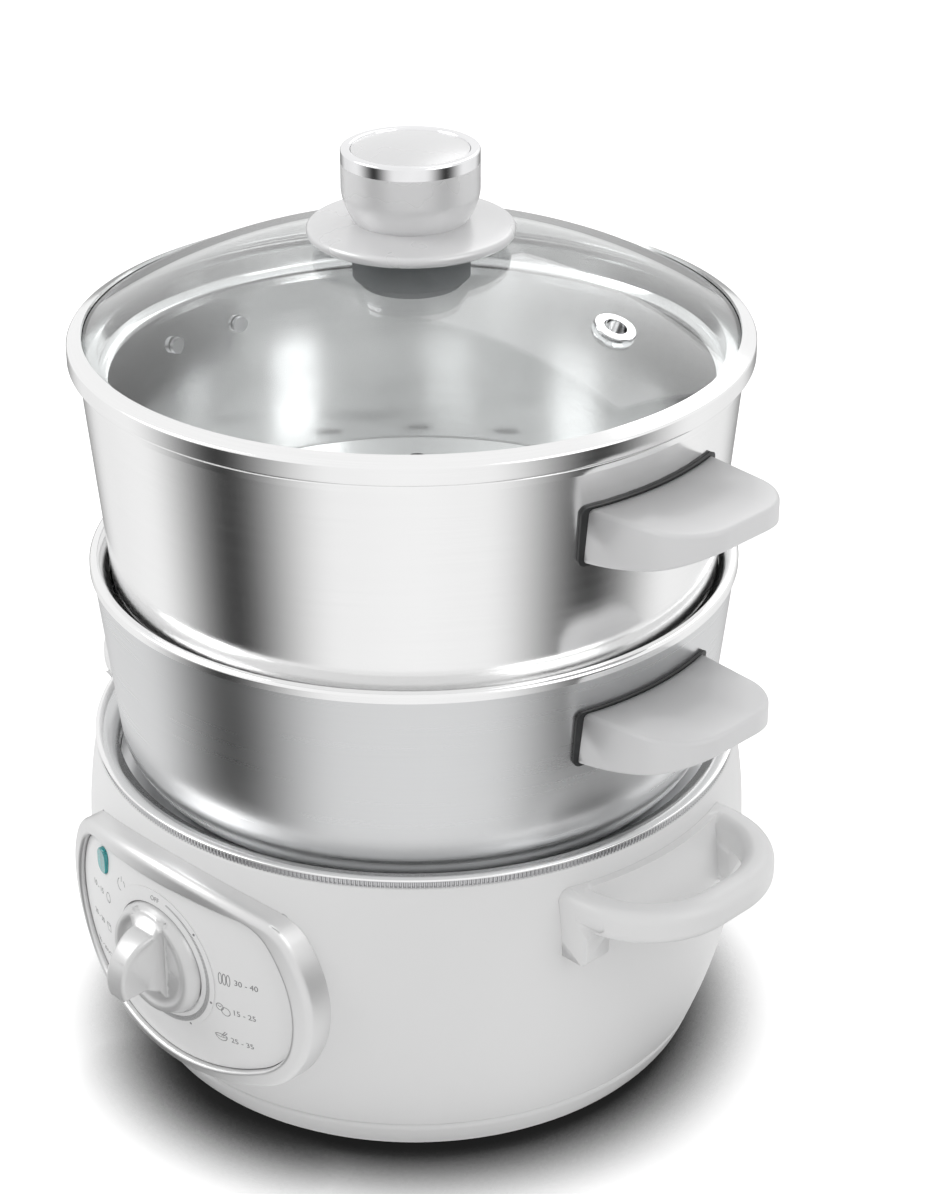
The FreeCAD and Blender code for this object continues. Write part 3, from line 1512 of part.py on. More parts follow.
# ---------------------------------------------------------------- lid
# the glass is part of a sphere: its radius follows from the dome's width and rise
glass_bow = (d.glass_radius * d.glass_radius + d.glass_rise * d.glass_rise) / (2 * d.glass_rise)
glass_apex = d.glass_edge_height + d.glass_rise
glass_centre = glass_apex - glass_bow
knob_base = glass_apex + d.skin_gap + d.washer_thickness


def glass_surface(distance, depth=0.0):
    """Height of the glass at a distance from the axis, depth below its outside."""
    bow = glass_bow - depth
    return glass_centre + root(bow * bow - distance * distance)


def vent_tilt(sketch_or_piece, prefix):
    """Leans something outwards so that it stands square on the glass at the vent."""
    tilt = arc_sine(d.vent_distance / glass_bow)
    bind(sketch_or_piece, prefix + ".Rotation.Axis.x", -sine(d.vent_azimuth))
    bind(sketch_or_piece, prefix + ".Rotation.Axis.y", cosine(d.vent_azimuth))
    bind(sketch_or_piece, prefix + ".Rotation.Angle", tilt)
    bind(sketch_or_piece, prefix + ".Base.x", d.vent_distance * cosine(d.vent_azimuth))
    bind(sketch_or_piece, prefix + ".Base.y", d.vent_distance * sine(d.vent_azimuth))


def make_lid_glass():
    glass = new_piece("lid_glass", lift=lid_rest)
    inner_bow = glass_bow - d.glass_thickness
    ring_round(glass, [
        (d.glass_bore_radius, glass_surface(d.glass_bore_radius, d.glass_thickness)),
        Bow(inner_bow, outward=False),
        (d.glass_radius, glass_surface(d.glass_radius, d.glass_thickness)),
        (d.glass_radius, glass_surface(d.glass_radius)),
        Bow(glass_bow),
        (d.glass_bore_radius, glass_surface(d.glass_bore_radius)),
    ])
    vent = draw_level(glass)
    vent.AttachmentOffset = FreeCAD.Placement(V(0, 0, 0), FreeCAD.Rotation(V(0, 1, 0), 20))
    vent_tilt(vent, "AttachmentOffset")
    bind(vent, "AttachmentOffset.Base.z", glass_surface(d.vent_distance))
    circle(vent, 0, 0, d.vent_hole_radius)
    pocket(glass, vent, 4 * d.glass_thickness, both_ways=True)


def make_lid_ring():
    ring = new_piece("lid_ring", lift=lid_rest)
    wall_inner = d.lid_ring_radius - d.lid_ring_thickness
    lip_top = glass_surface(d.lid_ring_lip_radius) + d.lid_glass_gap
    ring_round(ring, [
        (d.lid_ring_inner_radius, -d.lid_plug_depth),
        (d.lid_ring_inner_radius + d.lid_plug_wall, -d.lid_plug_depth),
        (d.lid_ring_inner_radius + d.lid_plug_wall, 0),
        (d.lid_ring_radius, 0, d.lid_ring_round),
        (d.lid_ring_radius, d.lid_ring_height, d.lid_ring_round),
        (d.lid_ring_lip_radius + d.lid_glass_gap, lip_top + d.lid_plug_wall),
        (d.lid_ring_lip_radius, lip_top),
        (wall_inner, glass_surface(d.glass_radius) + d.lid_glass_gap),
        (wall_inner, d.lid_ring_thickness),
        (d.lid_ring_inner_radius, d.lid_ring_thickness),
    ])


def make_vent_grommet():
    grommet = new_piece("vent_grommet")
    grommet.Placement = FreeCAD.Placement(V(0, 0, 0), FreeCAD.Rotation(V(0, 1, 0), 20))
    vent_tilt(grommet, "Placement")
    bind(grommet, "Placement.Base.z", lid_rest + glass_surface(d.vent_distance))
    neck = d.vent_hole_radius - d.lid_glass_gap
    under = -d.glass_thickness - d.lid_glass_gap
    ring_round(grommet, [
        (d.grommet_bore_radius, under - d.grommet_flange),
        (d.grommet_radius, under - d.grommet_flange),
        (d.grommet_radius, under),
        (neck, under),
        (neck, d.lid_glass_gap / 2),
        (d.grommet_radius, d.lid_glass_gap / 2),
        (d.grommet_radius - d.lid_glass_gap, d.grommet_flange),
        (d.grommet_bore_radius, d.grommet_flange),
    ])


def make_lid_knob():
    washer = new_piece("knob_washer", lift=lid_rest)
    ring_round(washer, [
        (d.glass_bore_radius, glass_apex + d.skin_gap),
        (d.washer_radius, glass_apex + d.skin_gap),
        (d.washer_radius, knob_base),
        (d.glass_bore_radius, knob_base),
    ])

    knob = new_piece("lid_knob", lift=lid_rest)
    bore = d.lid_screw_radius + d.thread_gap
    bore_top = knob_base + d.lid_screw_reach + d.thread_gap
    body_top = knob_base + d.knob_body_height
    ring_round(knob, [
        (bore, knob_base),
        (d.knob_flange_radius, knob_base, d.knob_flange_round),
        (d.knob_flange_radius, knob_base + d.knob_flange_height, d.knob_flange_round),
        (d.knob_neck_radius, knob_base + d.knob_neck_height),
        Bow(d.knob_cup_bow),
        (d.knob_cup_radius, knob_base + d.knob_cup_height),
        (d.knob_cup_radius, body_top),
        (0, body_top),
        (0, bore_top),
        (bore, bore_top),
    ])

    ring = new_piece("knob_ring", lift=lid_rest)
    ring_inner = d.knob_cup_radius - d.knob_ring_wall
    ring_top = body_top + d.knob_ring_height
    ring_round(ring, [
        (ring_inner, body_top),
        (d.knob_cup_radius, body_top),
        (d.knob_cup_radius, ring_top, d.knob_ring_round),
        (ring_inner, ring_top, d.knob_ring_round),
    ])

    cap = new_piece("knob_cap", lift=lid_rest)
    cap_radius = ring_inner - d.skin_gap
    cap_edge = body_top + d.knob_cap_edge
    cap_bow = (cap_radius * cap_radius + d.knob_cap_rise * d.knob_cap_rise) / (2 * d.knob_cap_rise)
    ring_round(cap, [
        (0, body_top),
        (cap_radius, body_top),
        (cap_radius, cap_edge),
        Bow(cap_bow),
        (0, cap_edge + d.knob_cap_rise),
    ])

    boss = new_piece("knob_boss", lift=lid_rest)
    boss_top = glass_surface(d.boss_radius, d.glass_thickness) - d.lid_glass_gap / 2
    boss_bottom = boss_top - d.boss_height
    head_seat = boss_bottom + d.lid_screw_recess
    head_hole = d.lid_screw_head_radius + d.hole_gap
    ring_round(boss, [
        (bore, head_seat),
        (head_hole, head_seat),
        (head_hole, boss_bottom),
        (d.boss_radius - d.boss_chamfer, boss_bottom),
        (d.boss_radius, boss_bottom + d.boss_chamfer),
        (d.boss_radius, boss_top),
        (bore, boss_top),
    ])

    screw = new_piece("knob_screw", lift=lid_rest)
    ring_round(screw, [
        (0, head_seat - d.lid_screw_head_height),
        (d.lid_screw_head_radius, head_seat - d.lid_screw_head_height),
        (d.lid_screw_head_radius, head_seat),
        (d.lid_screw_radius, head_seat),
        (d.lid_screw_radius, knob_base + d.lid_screw_reach),
        (0, knob_base + d.lid_screw_reach),
    ])


# ---------------------------------------------------------------- building and writing
def build_all():
    make_foot_ring()
    make_bottom_cover()
    make_cover_screws()
    make_base_housing()
    make_ribbed_band()
    make_water_bowl()
    make_heater()
    make_mains_inlet()
    make_base_handle("base_handle_right", 0.0)
    make_base_handle("base_handle_left", 180.0)
    make_base_handle_screws()
    make_control_bezel()
    make_panel_screws()
    make_control_plate()
    make_dial_ring()
    make_indicator()
    make_timer()
    make_timer_knob()
    make_timer_shaft()
    make_steam_tray()
    make_basket(lower)
    make_basket(upper)
    make_lid_glass()
    make_lid_ring()
    make_vent_grommet()
    make_lid_knob()


def write_all():
    """Checks every object and every piece, then writes one file a piece."""
    doc.recompute()
    for item in doc.Objects:
        if "Invalid" in item.State or "Error" in item.State:
            raise RuntimeError("%s is %s" % (item.Label, item.State))
    for piece in pieces:
        if piece.Shape.isNull() or not piece.Shape.isValid() or not piece.Shape.Solids:
            raise RuntimeError(piece.Label + " has no sound solid")
    os.makedirs("parts", exist_ok=True)
    for piece in pieces:
        piece.Shape.exportStep("parts/%s.step" % piece.Label)
    print("%d pieces written" % len(pieces))


build_all()
write_all()
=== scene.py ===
"""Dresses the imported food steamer: steel, plastics, glass, panel print and a plain studio."""

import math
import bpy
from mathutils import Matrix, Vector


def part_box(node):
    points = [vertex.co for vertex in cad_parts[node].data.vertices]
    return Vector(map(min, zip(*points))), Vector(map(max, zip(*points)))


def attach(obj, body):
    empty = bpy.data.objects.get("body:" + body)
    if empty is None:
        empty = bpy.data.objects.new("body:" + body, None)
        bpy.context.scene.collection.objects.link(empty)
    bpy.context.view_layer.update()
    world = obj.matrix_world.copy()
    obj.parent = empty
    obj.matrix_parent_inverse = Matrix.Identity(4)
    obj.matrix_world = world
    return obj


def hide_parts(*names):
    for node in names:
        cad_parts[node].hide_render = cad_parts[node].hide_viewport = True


bl_info = {
    "name": "Food steamer",
    "version": (1, 0, 0),
    "blender": (4, 5, 0),
    "location": "View3D > Sidebar > Steamer",
    "description": "Materials, fine detail and a plain studio for an electric food steamer",
    "category": "Object",
}

import bmesh
import bpy
from bpy.props import FloatProperty, FloatVectorProperty, IntProperty, PointerProperty
from mathutils import Matrix, Vector

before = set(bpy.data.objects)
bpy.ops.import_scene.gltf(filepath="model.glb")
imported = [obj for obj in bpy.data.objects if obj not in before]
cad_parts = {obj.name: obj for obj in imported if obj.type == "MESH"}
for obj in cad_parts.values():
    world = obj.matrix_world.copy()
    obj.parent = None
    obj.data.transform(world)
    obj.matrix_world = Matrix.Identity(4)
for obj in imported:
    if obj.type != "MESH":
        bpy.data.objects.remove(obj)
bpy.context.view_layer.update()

# how copies of the CAD shapes are joined, turned finer and shaded
MERGE_DISTANCE = 0.000002
TINY = 0.000001
TURNED_STEPS = 256
GLASS_STEPS = 360
ROUND_EDGES = 32.0
KNOB_ROUND_EDGES = 40.0
SKIN_GAP = 0.00005

# the housing is a barrel: an arc of BELLY_BOW turned about the vessel's axis
BELLY_RADIUS = 0.1259
BELLY_HEIGHT = 0.0891
BELLY_BOW = 0.1871
PLATE_PROUD = 0.0059

# the band round the housing's top: each rib is two points out and two points in
BAND_WALL = 0.0026
POINTS_PER_RIB = 4

# the dial round the timer knob, with its ticks from one angle to another, clockwise from OFF
DIAL_HEIGHT = 0.081
DIAL_RING_PROUD = 0.00035
DIAL_MARK_RADIUS = 0.0249
TICKS = 150
TICKS_FROM = math.radians(14.0)
TICKS_TO = math.radians(196.0)
SHORTEST_TICK = 0.0006
TICK_GROWTH = 1.25
OFF_SIZE = 0.8
DOT_RADIUS = 0.0271
DOT_ANGLES = (47.0, 108.0, 150.0)
DOT_HALF_WIDTH = 0.00028
DOT_LINE = 0.0005
KNOB_MARK_SIZE = 0.0005
KNOB_MARK_BACK = 0.0052
KNOB_MARK_UP = 0.009
TIMES_ASIDE = 0.0088

# the two upper screws of the panel's frame point straight out from the vessel's axis
UPPER_SCREW_TURN = math.radians(23.5)
UPPER_SCREW_HEIGHT = 0.1125
UPPER_SCREW_HOLE = 0.0016
HOLE_SLACK = 0.00001

# the bottom cover's outside: a flat floor, a round corner and a leaning wall up to its edge
COVER_FLOOR = 0.004
COVER_REACH = 0.1065
COVER_ROUND = 0.014
COVER_TOP = 0.0206
COVER_CLEARANCE = 0.00002
HOUSING_BOTTOM = 0.0208

# the lid's glass is a dome of one bow, with a vent hole through it
GLASS_BOW = 0.22936
GLASS_THICKNESS = 0.0034
GLASS_BORE = 0.0052
GLASS_ROWS = 40
VENT_HOLE = 0.0056

# the camera stands to the right of the panel and looks down on the lid
CAMERA_AZIMUTH = math.radians(44.5)
CAMERA_PITCH = math.radians(27.0)
CAMERA_BACK = 0.9363
CAMERA_ASIDE = 0.0221
CAMERA_HEIGHT = 0.6565
SENSOR = 36.0
FOCAL_PIXELS = 2800.0
FRAME_LONG_SIDE = 1194.0
CLIP_START = 0.05
CLIP_END = 50.0

# the floor is seen white, with a soft shadow this far from the foot
FLOOR_RADIUS = 7.0
FLOOR_LIFT = 0.45
FLOOR_WHITE = 0.95
SHADOW_REACH = 0.045
SHADOW_BLACK = 0.02
SHADOW_START = 0.30

# depth of the skins and lines of the materials
GRAIN = 0.00001
FINE_GRAIN = 0.000003
FINEST_GRAIN = 0.000002
CAST_GRAIN = 0.00006
RUBBER_GRAIN = 0.00004
LENS_RIB_DEPTH = 0.00003
LINE_DEPTH = 0.0000005

# how fine each noise is along x, y and z, per metre
MARKS_NOISE = (38, 38, 38)
SKIN_NOISE = (1400, 1400, 1400)
LINES_NOISE = (22, 22, 5200)
STREAKS_NOISE = (9, 9, 420)
PLASTIC_TONES = (14, 14, 14)
METAL_TONES = (60, 60, 60)
RUBBER_TONES = (120, 120, 120)
INK_TONES = (900, 900, 900)
LENS_RIBS = (2600, 2600, 60)

# the levels that most of a noise lies between
NOISE_LOW = 0.3
NOISE_HIGH = 0.7

# colours that aren't among the settings
SCREW_STEEL = (0.60, 0.60, 0.61)
BAND_STEEL = (0.62, 0.62, 0.63)
CHROME = (0.88, 0.88, 0.89)
CAST_METAL = (0.55, 0.56, 0.57)
DARK_PLASTIC = (0.05, 0.052, 0.055)
WASHER_RUBBER = (0.55, 0.55, 0.54)
GLASS_TINT = (0.95, 0.965, 0.965)
LAMP_TINT = (0.9, 0.8, 0.6)

# painted reflection that metal shows of the floor: brightness by degrees to either side of the
# camera
PAINTED_REFLECTION_LEVELS = ((0, 1.0), (22, 0.97), (60, 0.05), (98, 0.97), (128, 0.9), (158, 0.3), (180, 0.62))
SKY_LIGHT = 0.62

# name, place, side and power of each lamp, all turned to the middle of the vessel
SOFTBOX_TARGET = Vector((0.0, 0.0, 0.15))
SOFTBOXES = (
    ("softbox_left", (-1.3, -1.3, 1.7), 1.2, 16.0),
    ("softbox_right", (1.9, 0.3, 1.5), 1.4, 8.0),
    ("softbox_back", (-0.6, 1.8, 1.8), 1.4, 8.0),
)


# ---------------------------------------------------------------- settings
def colour(name, description, default):
    return FloatVectorProperty(name=name, description=description, default=default,
                               subtype="COLOR", min=0.0, max=1.0, size=3)


def length(name, description, default):
    return FloatProperty(name=name, description=description, default=default,
                         subtype="DISTANCE", unit="LENGTH", min=0.0)


class SteamerColours(bpy.types.PropertyGroup):
    shell_white: colour("Shell", "Moulded housing, cover and loop handles", (0.83, 0.83, 0.83))
    panel_white: colour("Panel", "Curved plate behind the timer knob", (0.84, 0.84, 0.84))
    bezel_silver: colour("Bezel", "Raised frame round the panel", (0.74, 0.74, 0.74))
    knob_white: colour("Timer knob", "Timer knob", (0.70, 0.70, 0.70))
    grip_grey: colour("Grips", "Basket grips and lid knob", (0.76, 0.76, 0.765))
    boss_grey: colour("Boss", "Boss under the glass", (0.40, 0.41, 0.42))
    bright_steel: colour("Bright steel", "Upper basket and lid edge", (0.90, 0.90, 0.90))
    satin_steel: colour("Satin steel", "Lower basket, tray and bowl", (0.68, 0.685, 0.69))
    print_grey: colour("Print", "Words and signs on the panel", (0.24, 0.24, 0.245))
    scale_grey: colour("Scale", "Ticks round the dial", (0.30, 0.30, 0.305))
    lens_teal: colour("Lens", "Indicator lens", (0.02, 0.30, 0.31))
    rubber_black: colour("Rubber", "Gaskets, foot ring and gland", (0.02, 0.021, 0.022))


class SteamerSizes(bpy.types.PropertyGroup):
    rib_count: IntProperty(name="Ribs", description="Ribs round the metal band",
                           default=500, min=60)
    rib_depth: length("Rib depth", "How deep the grooves between the ribs are", 0.0006)
    print_height: length("Letter height", "Type size of the times on the panel", 0.0033)
    print_line: length("Line width", "Width of the lines of the signs", 0.00032)
    print_thickness: length("Print thickness", "How thick the ink lies", 0.00004)
    scale_width: length("Scale width", "Longest ticks of the scale round the dial", 0.0022)


# ---------------------------------------------------------------- shared shader groups
def group_socket(group, name, in_out, kind, default=None):
    socket = group.interface.new_socket(name=name, in_out=in_out, socket_type=kind)
    if default is not None:
        socket.default_value = default


def math_node(tree, operation, first, second=None):
    """A Math node; an input is either a number or another node's output."""
    node = tree.nodes.new("ShaderNodeMath")
    node.operation = operation
    for place, value in enumerate((first, second)):
        if value is None:
            continue
        if isinstance(value, (int, float)):
            node.inputs[place].default_value = value
        else:
            tree.links.new(value, node.inputs[place])
    return node.outputs[0]


def spread(tree, value, low, high):
    """Stretches a mask that lies near the middle to run from low to high."""
    node = tree.nodes.new("ShaderNodeMapRange")
    node.inputs["From Min"].default_value = NOISE_LOW
    node.inputs["From Max"].default_value = NOISE_HIGH
    tree.links.new(value, node.inputs["Value"])
    for name, end in (("To Min", low), ("To Max", high)):
        if isinstance(end, (int, float)):
            node.inputs[name].default_value = end
        else:
            tree.links.new(end, node.inputs[name])
    return node.outputs["Result"]


def stretched_noise(tree, per_metre, detail):
    """Noise on the piece's own place, with a different fineness along each axis."""
    place = tree.nodes.new("ShaderNodeTexCoord")
    stretch = tree.nodes.new("ShaderNodeMapping")
    stretch.inputs["Scale"].default_value = per_metre
    noise = tree.nodes.new("ShaderNodeTexNoise")
    noise.inputs["Scale"].default_value = 1.0
    noise.inputs["Detail"].default_value = detail
    tree.links.new(place.outputs["Object"], stretch.inputs["Vector"])
    tree.links.new(stretch.outputs["Vector"], noise.inputs["Vector"])
    return noise.outputs["Fac"]


def make_marks_group():
    """Soft marks of wiping and handling that change the gloss from place to place."""
    group = bpy.data.node_groups.new("handling_marks", "ShaderNodeTree")
    group_socket(group, "Least", "INPUT", "NodeSocketFloat", 0.3)
    group_socket(group, "Most", "INPUT", "NodeSocketFloat", 0.4)
    group_socket(group, "Roughness", "OUTPUT", "NodeSocketFloat")
    start = group.nodes.new("NodeGroupInput")
    end = group.nodes.new("NodeGroupOutput")
    patches = stretched_noise(group, MARKS_NOISE, 3.0)
    result = spread(group, patches, start.outputs["Least"], start.outputs["Most"])
    group.links.new(result, end.inputs["Roughness"])
    return group


def make_skin_group():
    """The fine even grain of moulded plastic, as a height."""
    group = bpy.data.node_groups.new("moulded_skin", "ShaderNodeTree")
    group_socket(group, "Height", "OUTPUT", "NodeSocketFloat")
    end = group.nodes.new("NodeGroupOutput")
    group.links.new(stretched_noise(group, SKIN_NOISE, 2.0), end.inputs["Height"])
    return group


def make_turned_group():
    """Fine lines that run round the vessel, as left by turning and brushing."""
    group = bpy.data.node_groups.new("turned_lines", "ShaderNodeTree")
    group_socket(group, "Lines", "OUTPUT", "NodeSocketFloat")
    group_socket(group, "Streaks", "OUTPUT", "NodeSocketFloat")
    end = group.nodes.new("NodeGroupOutput")
    group.links.new(stretched_noise(group, LINES_NOISE, 2.0), end.inputs["Lines"])
    group.links.new(stretched_noise(group, STREAKS_NOISE, 3.0), end.inputs["Streaks"])
    return group


GROUP_MAKERS = {
    "handling_marks": make_marks_group,
    "moulded_skin": make_skin_group,
    "turned_lines": make_turned_group,
}


def place_group(tree, name, **values):
    node = tree.nodes.new("ShaderNodeGroup")
    node.node_tree = bpy.data.node_groups.get(name) or GROUP_MAKERS[name]()
    for socket, value in values.items():
        node.inputs[socket].default_value = value
    return node


# ---------------------------------------------------------------- materials
def start_material(name):
    material = bpy.data.materials.new(name)
    material.use_nodes = True
    return material, material.node_tree, material.node_tree.nodes["Principled BSDF"]


def add_bump(tree, shader, height, depth):
    bump = tree.nodes.new("ShaderNodeBump")
    bump.inputs["Distance"].default_value = depth
    bump.inputs["Strength"].default_value = 1.0
    tree.links.new(height, bump.inputs["Height"])
    tree.links.new(bump.outputs["Normal"], shader.inputs["Normal"])


def add_skin(tree, shader, depth):
    skin = place_group(tree, "moulded_skin")
    add_bump(tree, shader, skin.outputs["Height"], depth)


def add_marks(tree, shader, least, most):
    """Roughness that drifts between two values with the marks of handling."""
    marks = place_group(tree, "handling_marks", Least=least, Most=most)
    tree.links.new(marks.outputs["Roughness"], shader.inputs["Roughness"])


def tinted(tree, shader, mask, dark, light):
    """Base colour that drifts between two close tones with a mask."""
    mix = tree.nodes.new("ShaderNodeMix")
    mix.data_type = "RGBA"
    mix.inputs["A"].default_value = (*dark, 1.0)
    mix.inputs["B"].default_value = (*light, 1.0)
    tree.links.new(spread(tree, mask, 0.0, 1.0), mix.inputs["Factor"])
    tree.links.new(mix.outputs["Result"], shader.inputs["Base Color"])


def shade_of(base, share):
    return tuple(channel * share for channel in base)


def moulded_plastic(name, base, roughness, coat=0.0, metal=0.0, grain=GRAIN):
    """Moulded or painted plastic: a fine skin, soft marks and, if asked, a clear coat."""
    material, tree, shader = start_material(name)
    add_marks(tree, shader, roughness - 0.03, roughness + 0.04)
    tinted(tree, shader, stretched_noise(tree, PLASTIC_TONES, 2.0), shade_of(base, 0.985), base)
    add_skin(tree, shader, grain)
    shader.inputs["Metallic"].default_value = metal
    shader.inputs["Coat Weight"].default_value = coat
    shader.inputs["Coat Roughness"].default_value = 0.12
    return material


def turned_steel(name, base, smooth, rough):
    """Sheet steel with fine lines round the vessel and gloss that varies in streaks."""
    material, tree, shader = start_material(name)
    shader.inputs["Metallic"].default_value = 1.0
    lines = place_group(tree, "turned_lines")
    gloss = spread(tree, lines.outputs["Streaks"], smooth, rough)
    tree.links.new(gloss, shader.inputs["Roughness"])
    tinted(tree, shader, lines.outputs["Lines"], shade_of(base, 0.98), base)
    add_bump(tree, shader, lines.outputs["Lines"], LINE_DEPTH)
    return material


def plain_metal(name, base, roughness, grain=GRAIN):
    """Cast or plated metal with an even fine surface."""
    material, tree, shader = start_material(name)
    shader.inputs["Metallic"].default_value = 1.0
    add_marks(tree, shader, roughness - 0.04, roughness + 0.05)
    tinted(tree, shader, stretched_noise(tree, METAL_TONES, 2.0), shade_of(base, 0.94), base)
    add_skin(tree, shader, grain)
    return material


def clear_glass(name, base, roughness):
    """Clear pressed glass; only its gloss varies a little."""
    material, tree, shader = start_material(name)
    shader.inputs["Base Color"].default_value = (*base, 1.0)
    shader.inputs["Transmission Weight"].default_value = 1.0
    shader.inputs["IOR"].default_value = 1.45
    add_marks(tree, shader, roughness, roughness + 0.02)
    return material


def soft_rubber(name, base, roughness):
    """Matt rubber with a coarser skin."""
    material, tree, shader = start_material(name)
    add_marks(tree, shader, roughness - 0.05, roughness + 0.05)
    tinted(tree, shader, stretched_noise(tree, RUBBER_TONES, 3.0), shade_of(base, 0.8), base)
    add_skin(tree, shader, RUBBER_GRAIN)
    return material


def lens_plastic(name, base):
    """Tinted clear plastic with upright optic ribs behind its face."""
    material, tree, shader = start_material(name)
    ribs = stretched_noise(tree, LENS_RIBS, 0.0)
    tinted(tree, shader, ribs, shade_of(base, 0.55), tuple(min(1.0, c * 1.5) for c in base))
    add_marks(tree, shader, 0.12, 0.18)
    shader.inputs["Coat Weight"].default_value = 1.0
    shader.inputs["Coat Roughness"].default_value = 0.05
    add_bump(tree, shader, ribs, LENS_RIB_DEPTH)
    return material


def ink(name, base):
    """Printing ink that varies a little in tone."""
    material, tree, shader = start_material(name)
    tinted(tree, shader, stretched_noise(tree, INK_TONES, 2.0), shade_of(base, 0.9), base)
    add_marks(tree, shader, 0.45, 0.55)
    return material


# ---------------------------------------------------------------- pieces
def give_finish(material, *nodes):
    """Puts a material on CAD nodes that keep their own shape."""
    for node in nodes:
        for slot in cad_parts[node].material_slots:
            slot.material = material


def add_piece(name, form, material, body=None, replaced=(), smooth=None):
    """Makes an object of a bmesh; its edges shade round under the angle smooth, in degrees."""
    mesh = bpy.data.meshes.new(name)
    form.to_mesh(mesh)
    form.free()
    piece = bpy.data.objects.new(name, mesh)
    bpy.context.scene.collection.objects.link(piece)
    mesh.materials.append(material)
    if smooth is not None:
        mesh.shade_smooth()
        mesh.set_sharp_from_angle(angle=math.radians(smooth))
    if body:
        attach(piece, body)
    if replaced:
        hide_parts(*replaced)
    return piece


def merged(node):
    """A copy of the node's own shape with its loose triangles joined."""
    form = bmesh.new()
    form.from_mesh(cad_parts[node].data)
    bmesh.ops.remove_doubles(form, verts=form.verts, dist=MERGE_DISTANCE)
    bmesh.ops.dissolve_degenerate(form, edges=form.edges, dist=TINY)
    return form


def refined(node, material, body, slot, smooth=ROUND_EDGES):
    """The node's own shape as one merged mesh, so that its curved walls shade smoothly."""
    return add_piece(node + "_skin", merged(node), material, body, (node,), smooth)


def turn(form, steps):
    """Turns a section that lies in the plane of x and z once round the vessel's axis."""
    bmesh.ops.spin(form, geom=form.verts[:] + form.edges[:], cent=(0, 0, 0), axis=(0, 0, 1),
                   angle=2 * math.pi, steps=steps, use_merge=True)


def outline(points, closed):
    """A form that holds only a section, from its radii and heights."""
    form = bmesh.new()
    verts = [form.verts.new((radius, 0.0, height)) for radius, height in points]
    following = verts[1:] + (verts[:1] if closed else [])
    for pair in zip(verts, following):
        form.edges.new(pair)
    return form


def turned(node, material, body, slot):
    """A round node's own section, cut out of it and turned again in finer steps."""
    form = merged(node)
    for square_to, clear_outer in (((0, 1, 0), True), ((1, 0, 0), False)):
        bmesh.ops.bisect_plane(form, geom=form.verts[:] + form.edges[:] + form.faces[:],
                               dist=TINY, plane_co=(0, 0, 0), plane_no=square_to,
                               clear_inner=True, clear_outer=clear_outer)
    turn(form, TURNED_STEPS)
    bmesh.ops.remove_doubles(form, verts=form.verts, dist=MERGE_DISTANCE)
    bmesh.ops.recalc_face_normals(form, faces=form.faces)
    add_piece(node + "_turned", form, material, body, (node,), ROUND_EDGES)


def combined(piece, form, operation):
    """Cuts a closed form out of the piece, or keeps only what lies inside that form."""
    mesh = bpy.data.meshes.new("cutter")
    form.to_mesh(mesh)
    form.free()
    cutter = bpy.data.objects.new("cutter", mesh)
    bpy.context.scene.collection.objects.link(cutter)
    cut = piece.modifiers.new("cut", "BOOLEAN")
    cut.operation = operation
    cut.solver = "EXACT"
    cut.object = cutter
    whole = piece.data
    ready = piece.evaluated_get(bpy.context.evaluated_depsgraph_get())
    piece.data = bpy.data.meshes.new_from_object(ready)
    piece.modifiers.clear()
    bpy.data.objects.remove(cutter)
    bpy.data.meshes.remove(mesh)
    bpy.data.meshes.remove(whole)
    piece.data.shade_smooth()
    piece.data.set_sharp_from_angle(angle=math.radians(ROUND_EDGES))


def belly_radius(height, proud=0.0):
    """Radius of the barrel-shaped housing at a height, or of a skin that lies proud of it."""
    bow = BELLY_BOW + proud
    return BELLY_RADIUS - BELLY_BOW + math.sqrt(bow ** 2 - (height - BELLY_HEIGHT) ** 2)


def panel_point(across, height, proud):
    """A point on the front of the curved plate, seen across and up, and proud of it."""
    radius = belly_radius(height, PLATE_PROUD) + proud
    return Vector((across, -math.sqrt(radius ** 2 - across ** 2), height))


def lay_on_panel(form, flat, across, height, proud=0.0):
    """Lays a flat mesh, drawn in x and y with its thickness in z, on the plate or proud of it."""
    start = len(form.verts)
    form.from_mesh(flat)
    form.verts.ensure_lookup_table()
    for vertex in form.verts[start:]:
        x, y, z = vertex.co
        vertex.co = panel_point(across + x, height + y, z + proud)
    bpy.data.meshes.remove(flat)


def flat_mesh(curve):
    """The mesh of a curve or text, which is not kept itself."""
    carrier = bpy.data.objects.new("drawing", curve)
    mesh = bpy.data.meshes.new_from_object(carrier)
    bpy.data.objects.remove(carrier)
    bpy.data.curves.remove(curve)
    return mesh


def flat_words(text, size, thickness):
    curve = bpy.data.curves.new("words", "FONT")
    curve.body = text
    curve.size = size
    curve.align_x = "CENTER"
    curve.align_y = "CENTER"
    curve.extrude = thickness
    curve.resolution_u = 4
    return flat_mesh(curve)


def flat_line(points, width, thickness, closed=False):
    """A printed line through points, a little round in section and sunk to its thickness."""
    curve = bpy.data.curves.new("line", "CURVE")
    curve.dimensions = "3D"
    curve.bevel_depth = width / 2
    curve.bevel_resolution = 1
    curve.use_fill_caps = True
    spline = curve.splines.new("POLY")
    spline.points.add(len(points) - 1)
    for point, (x, y) in zip(spline.points, points):
        point.co = (x, y, 0.0, 1.0)
    spline.use_cyclic_u = closed
    mesh = flat_mesh(curve)
    mesh.transform(Matrix.Diagonal((1, 1, 2 * thickness / width, 1)))
    return mesh


def arc(centre, radius, start, end, steps=24, squeeze=1.0):
    """Points of an arc; angles are in degrees and squeeze flattens it up and down."""
    angles = [math.radians(start + (end - start) * step / steps) for step in range(steps + 1)]
    return [(centre[0] + radius * math.cos(angle), centre[1] + radius * squeeze * math.sin(angle))
            for angle in angles]


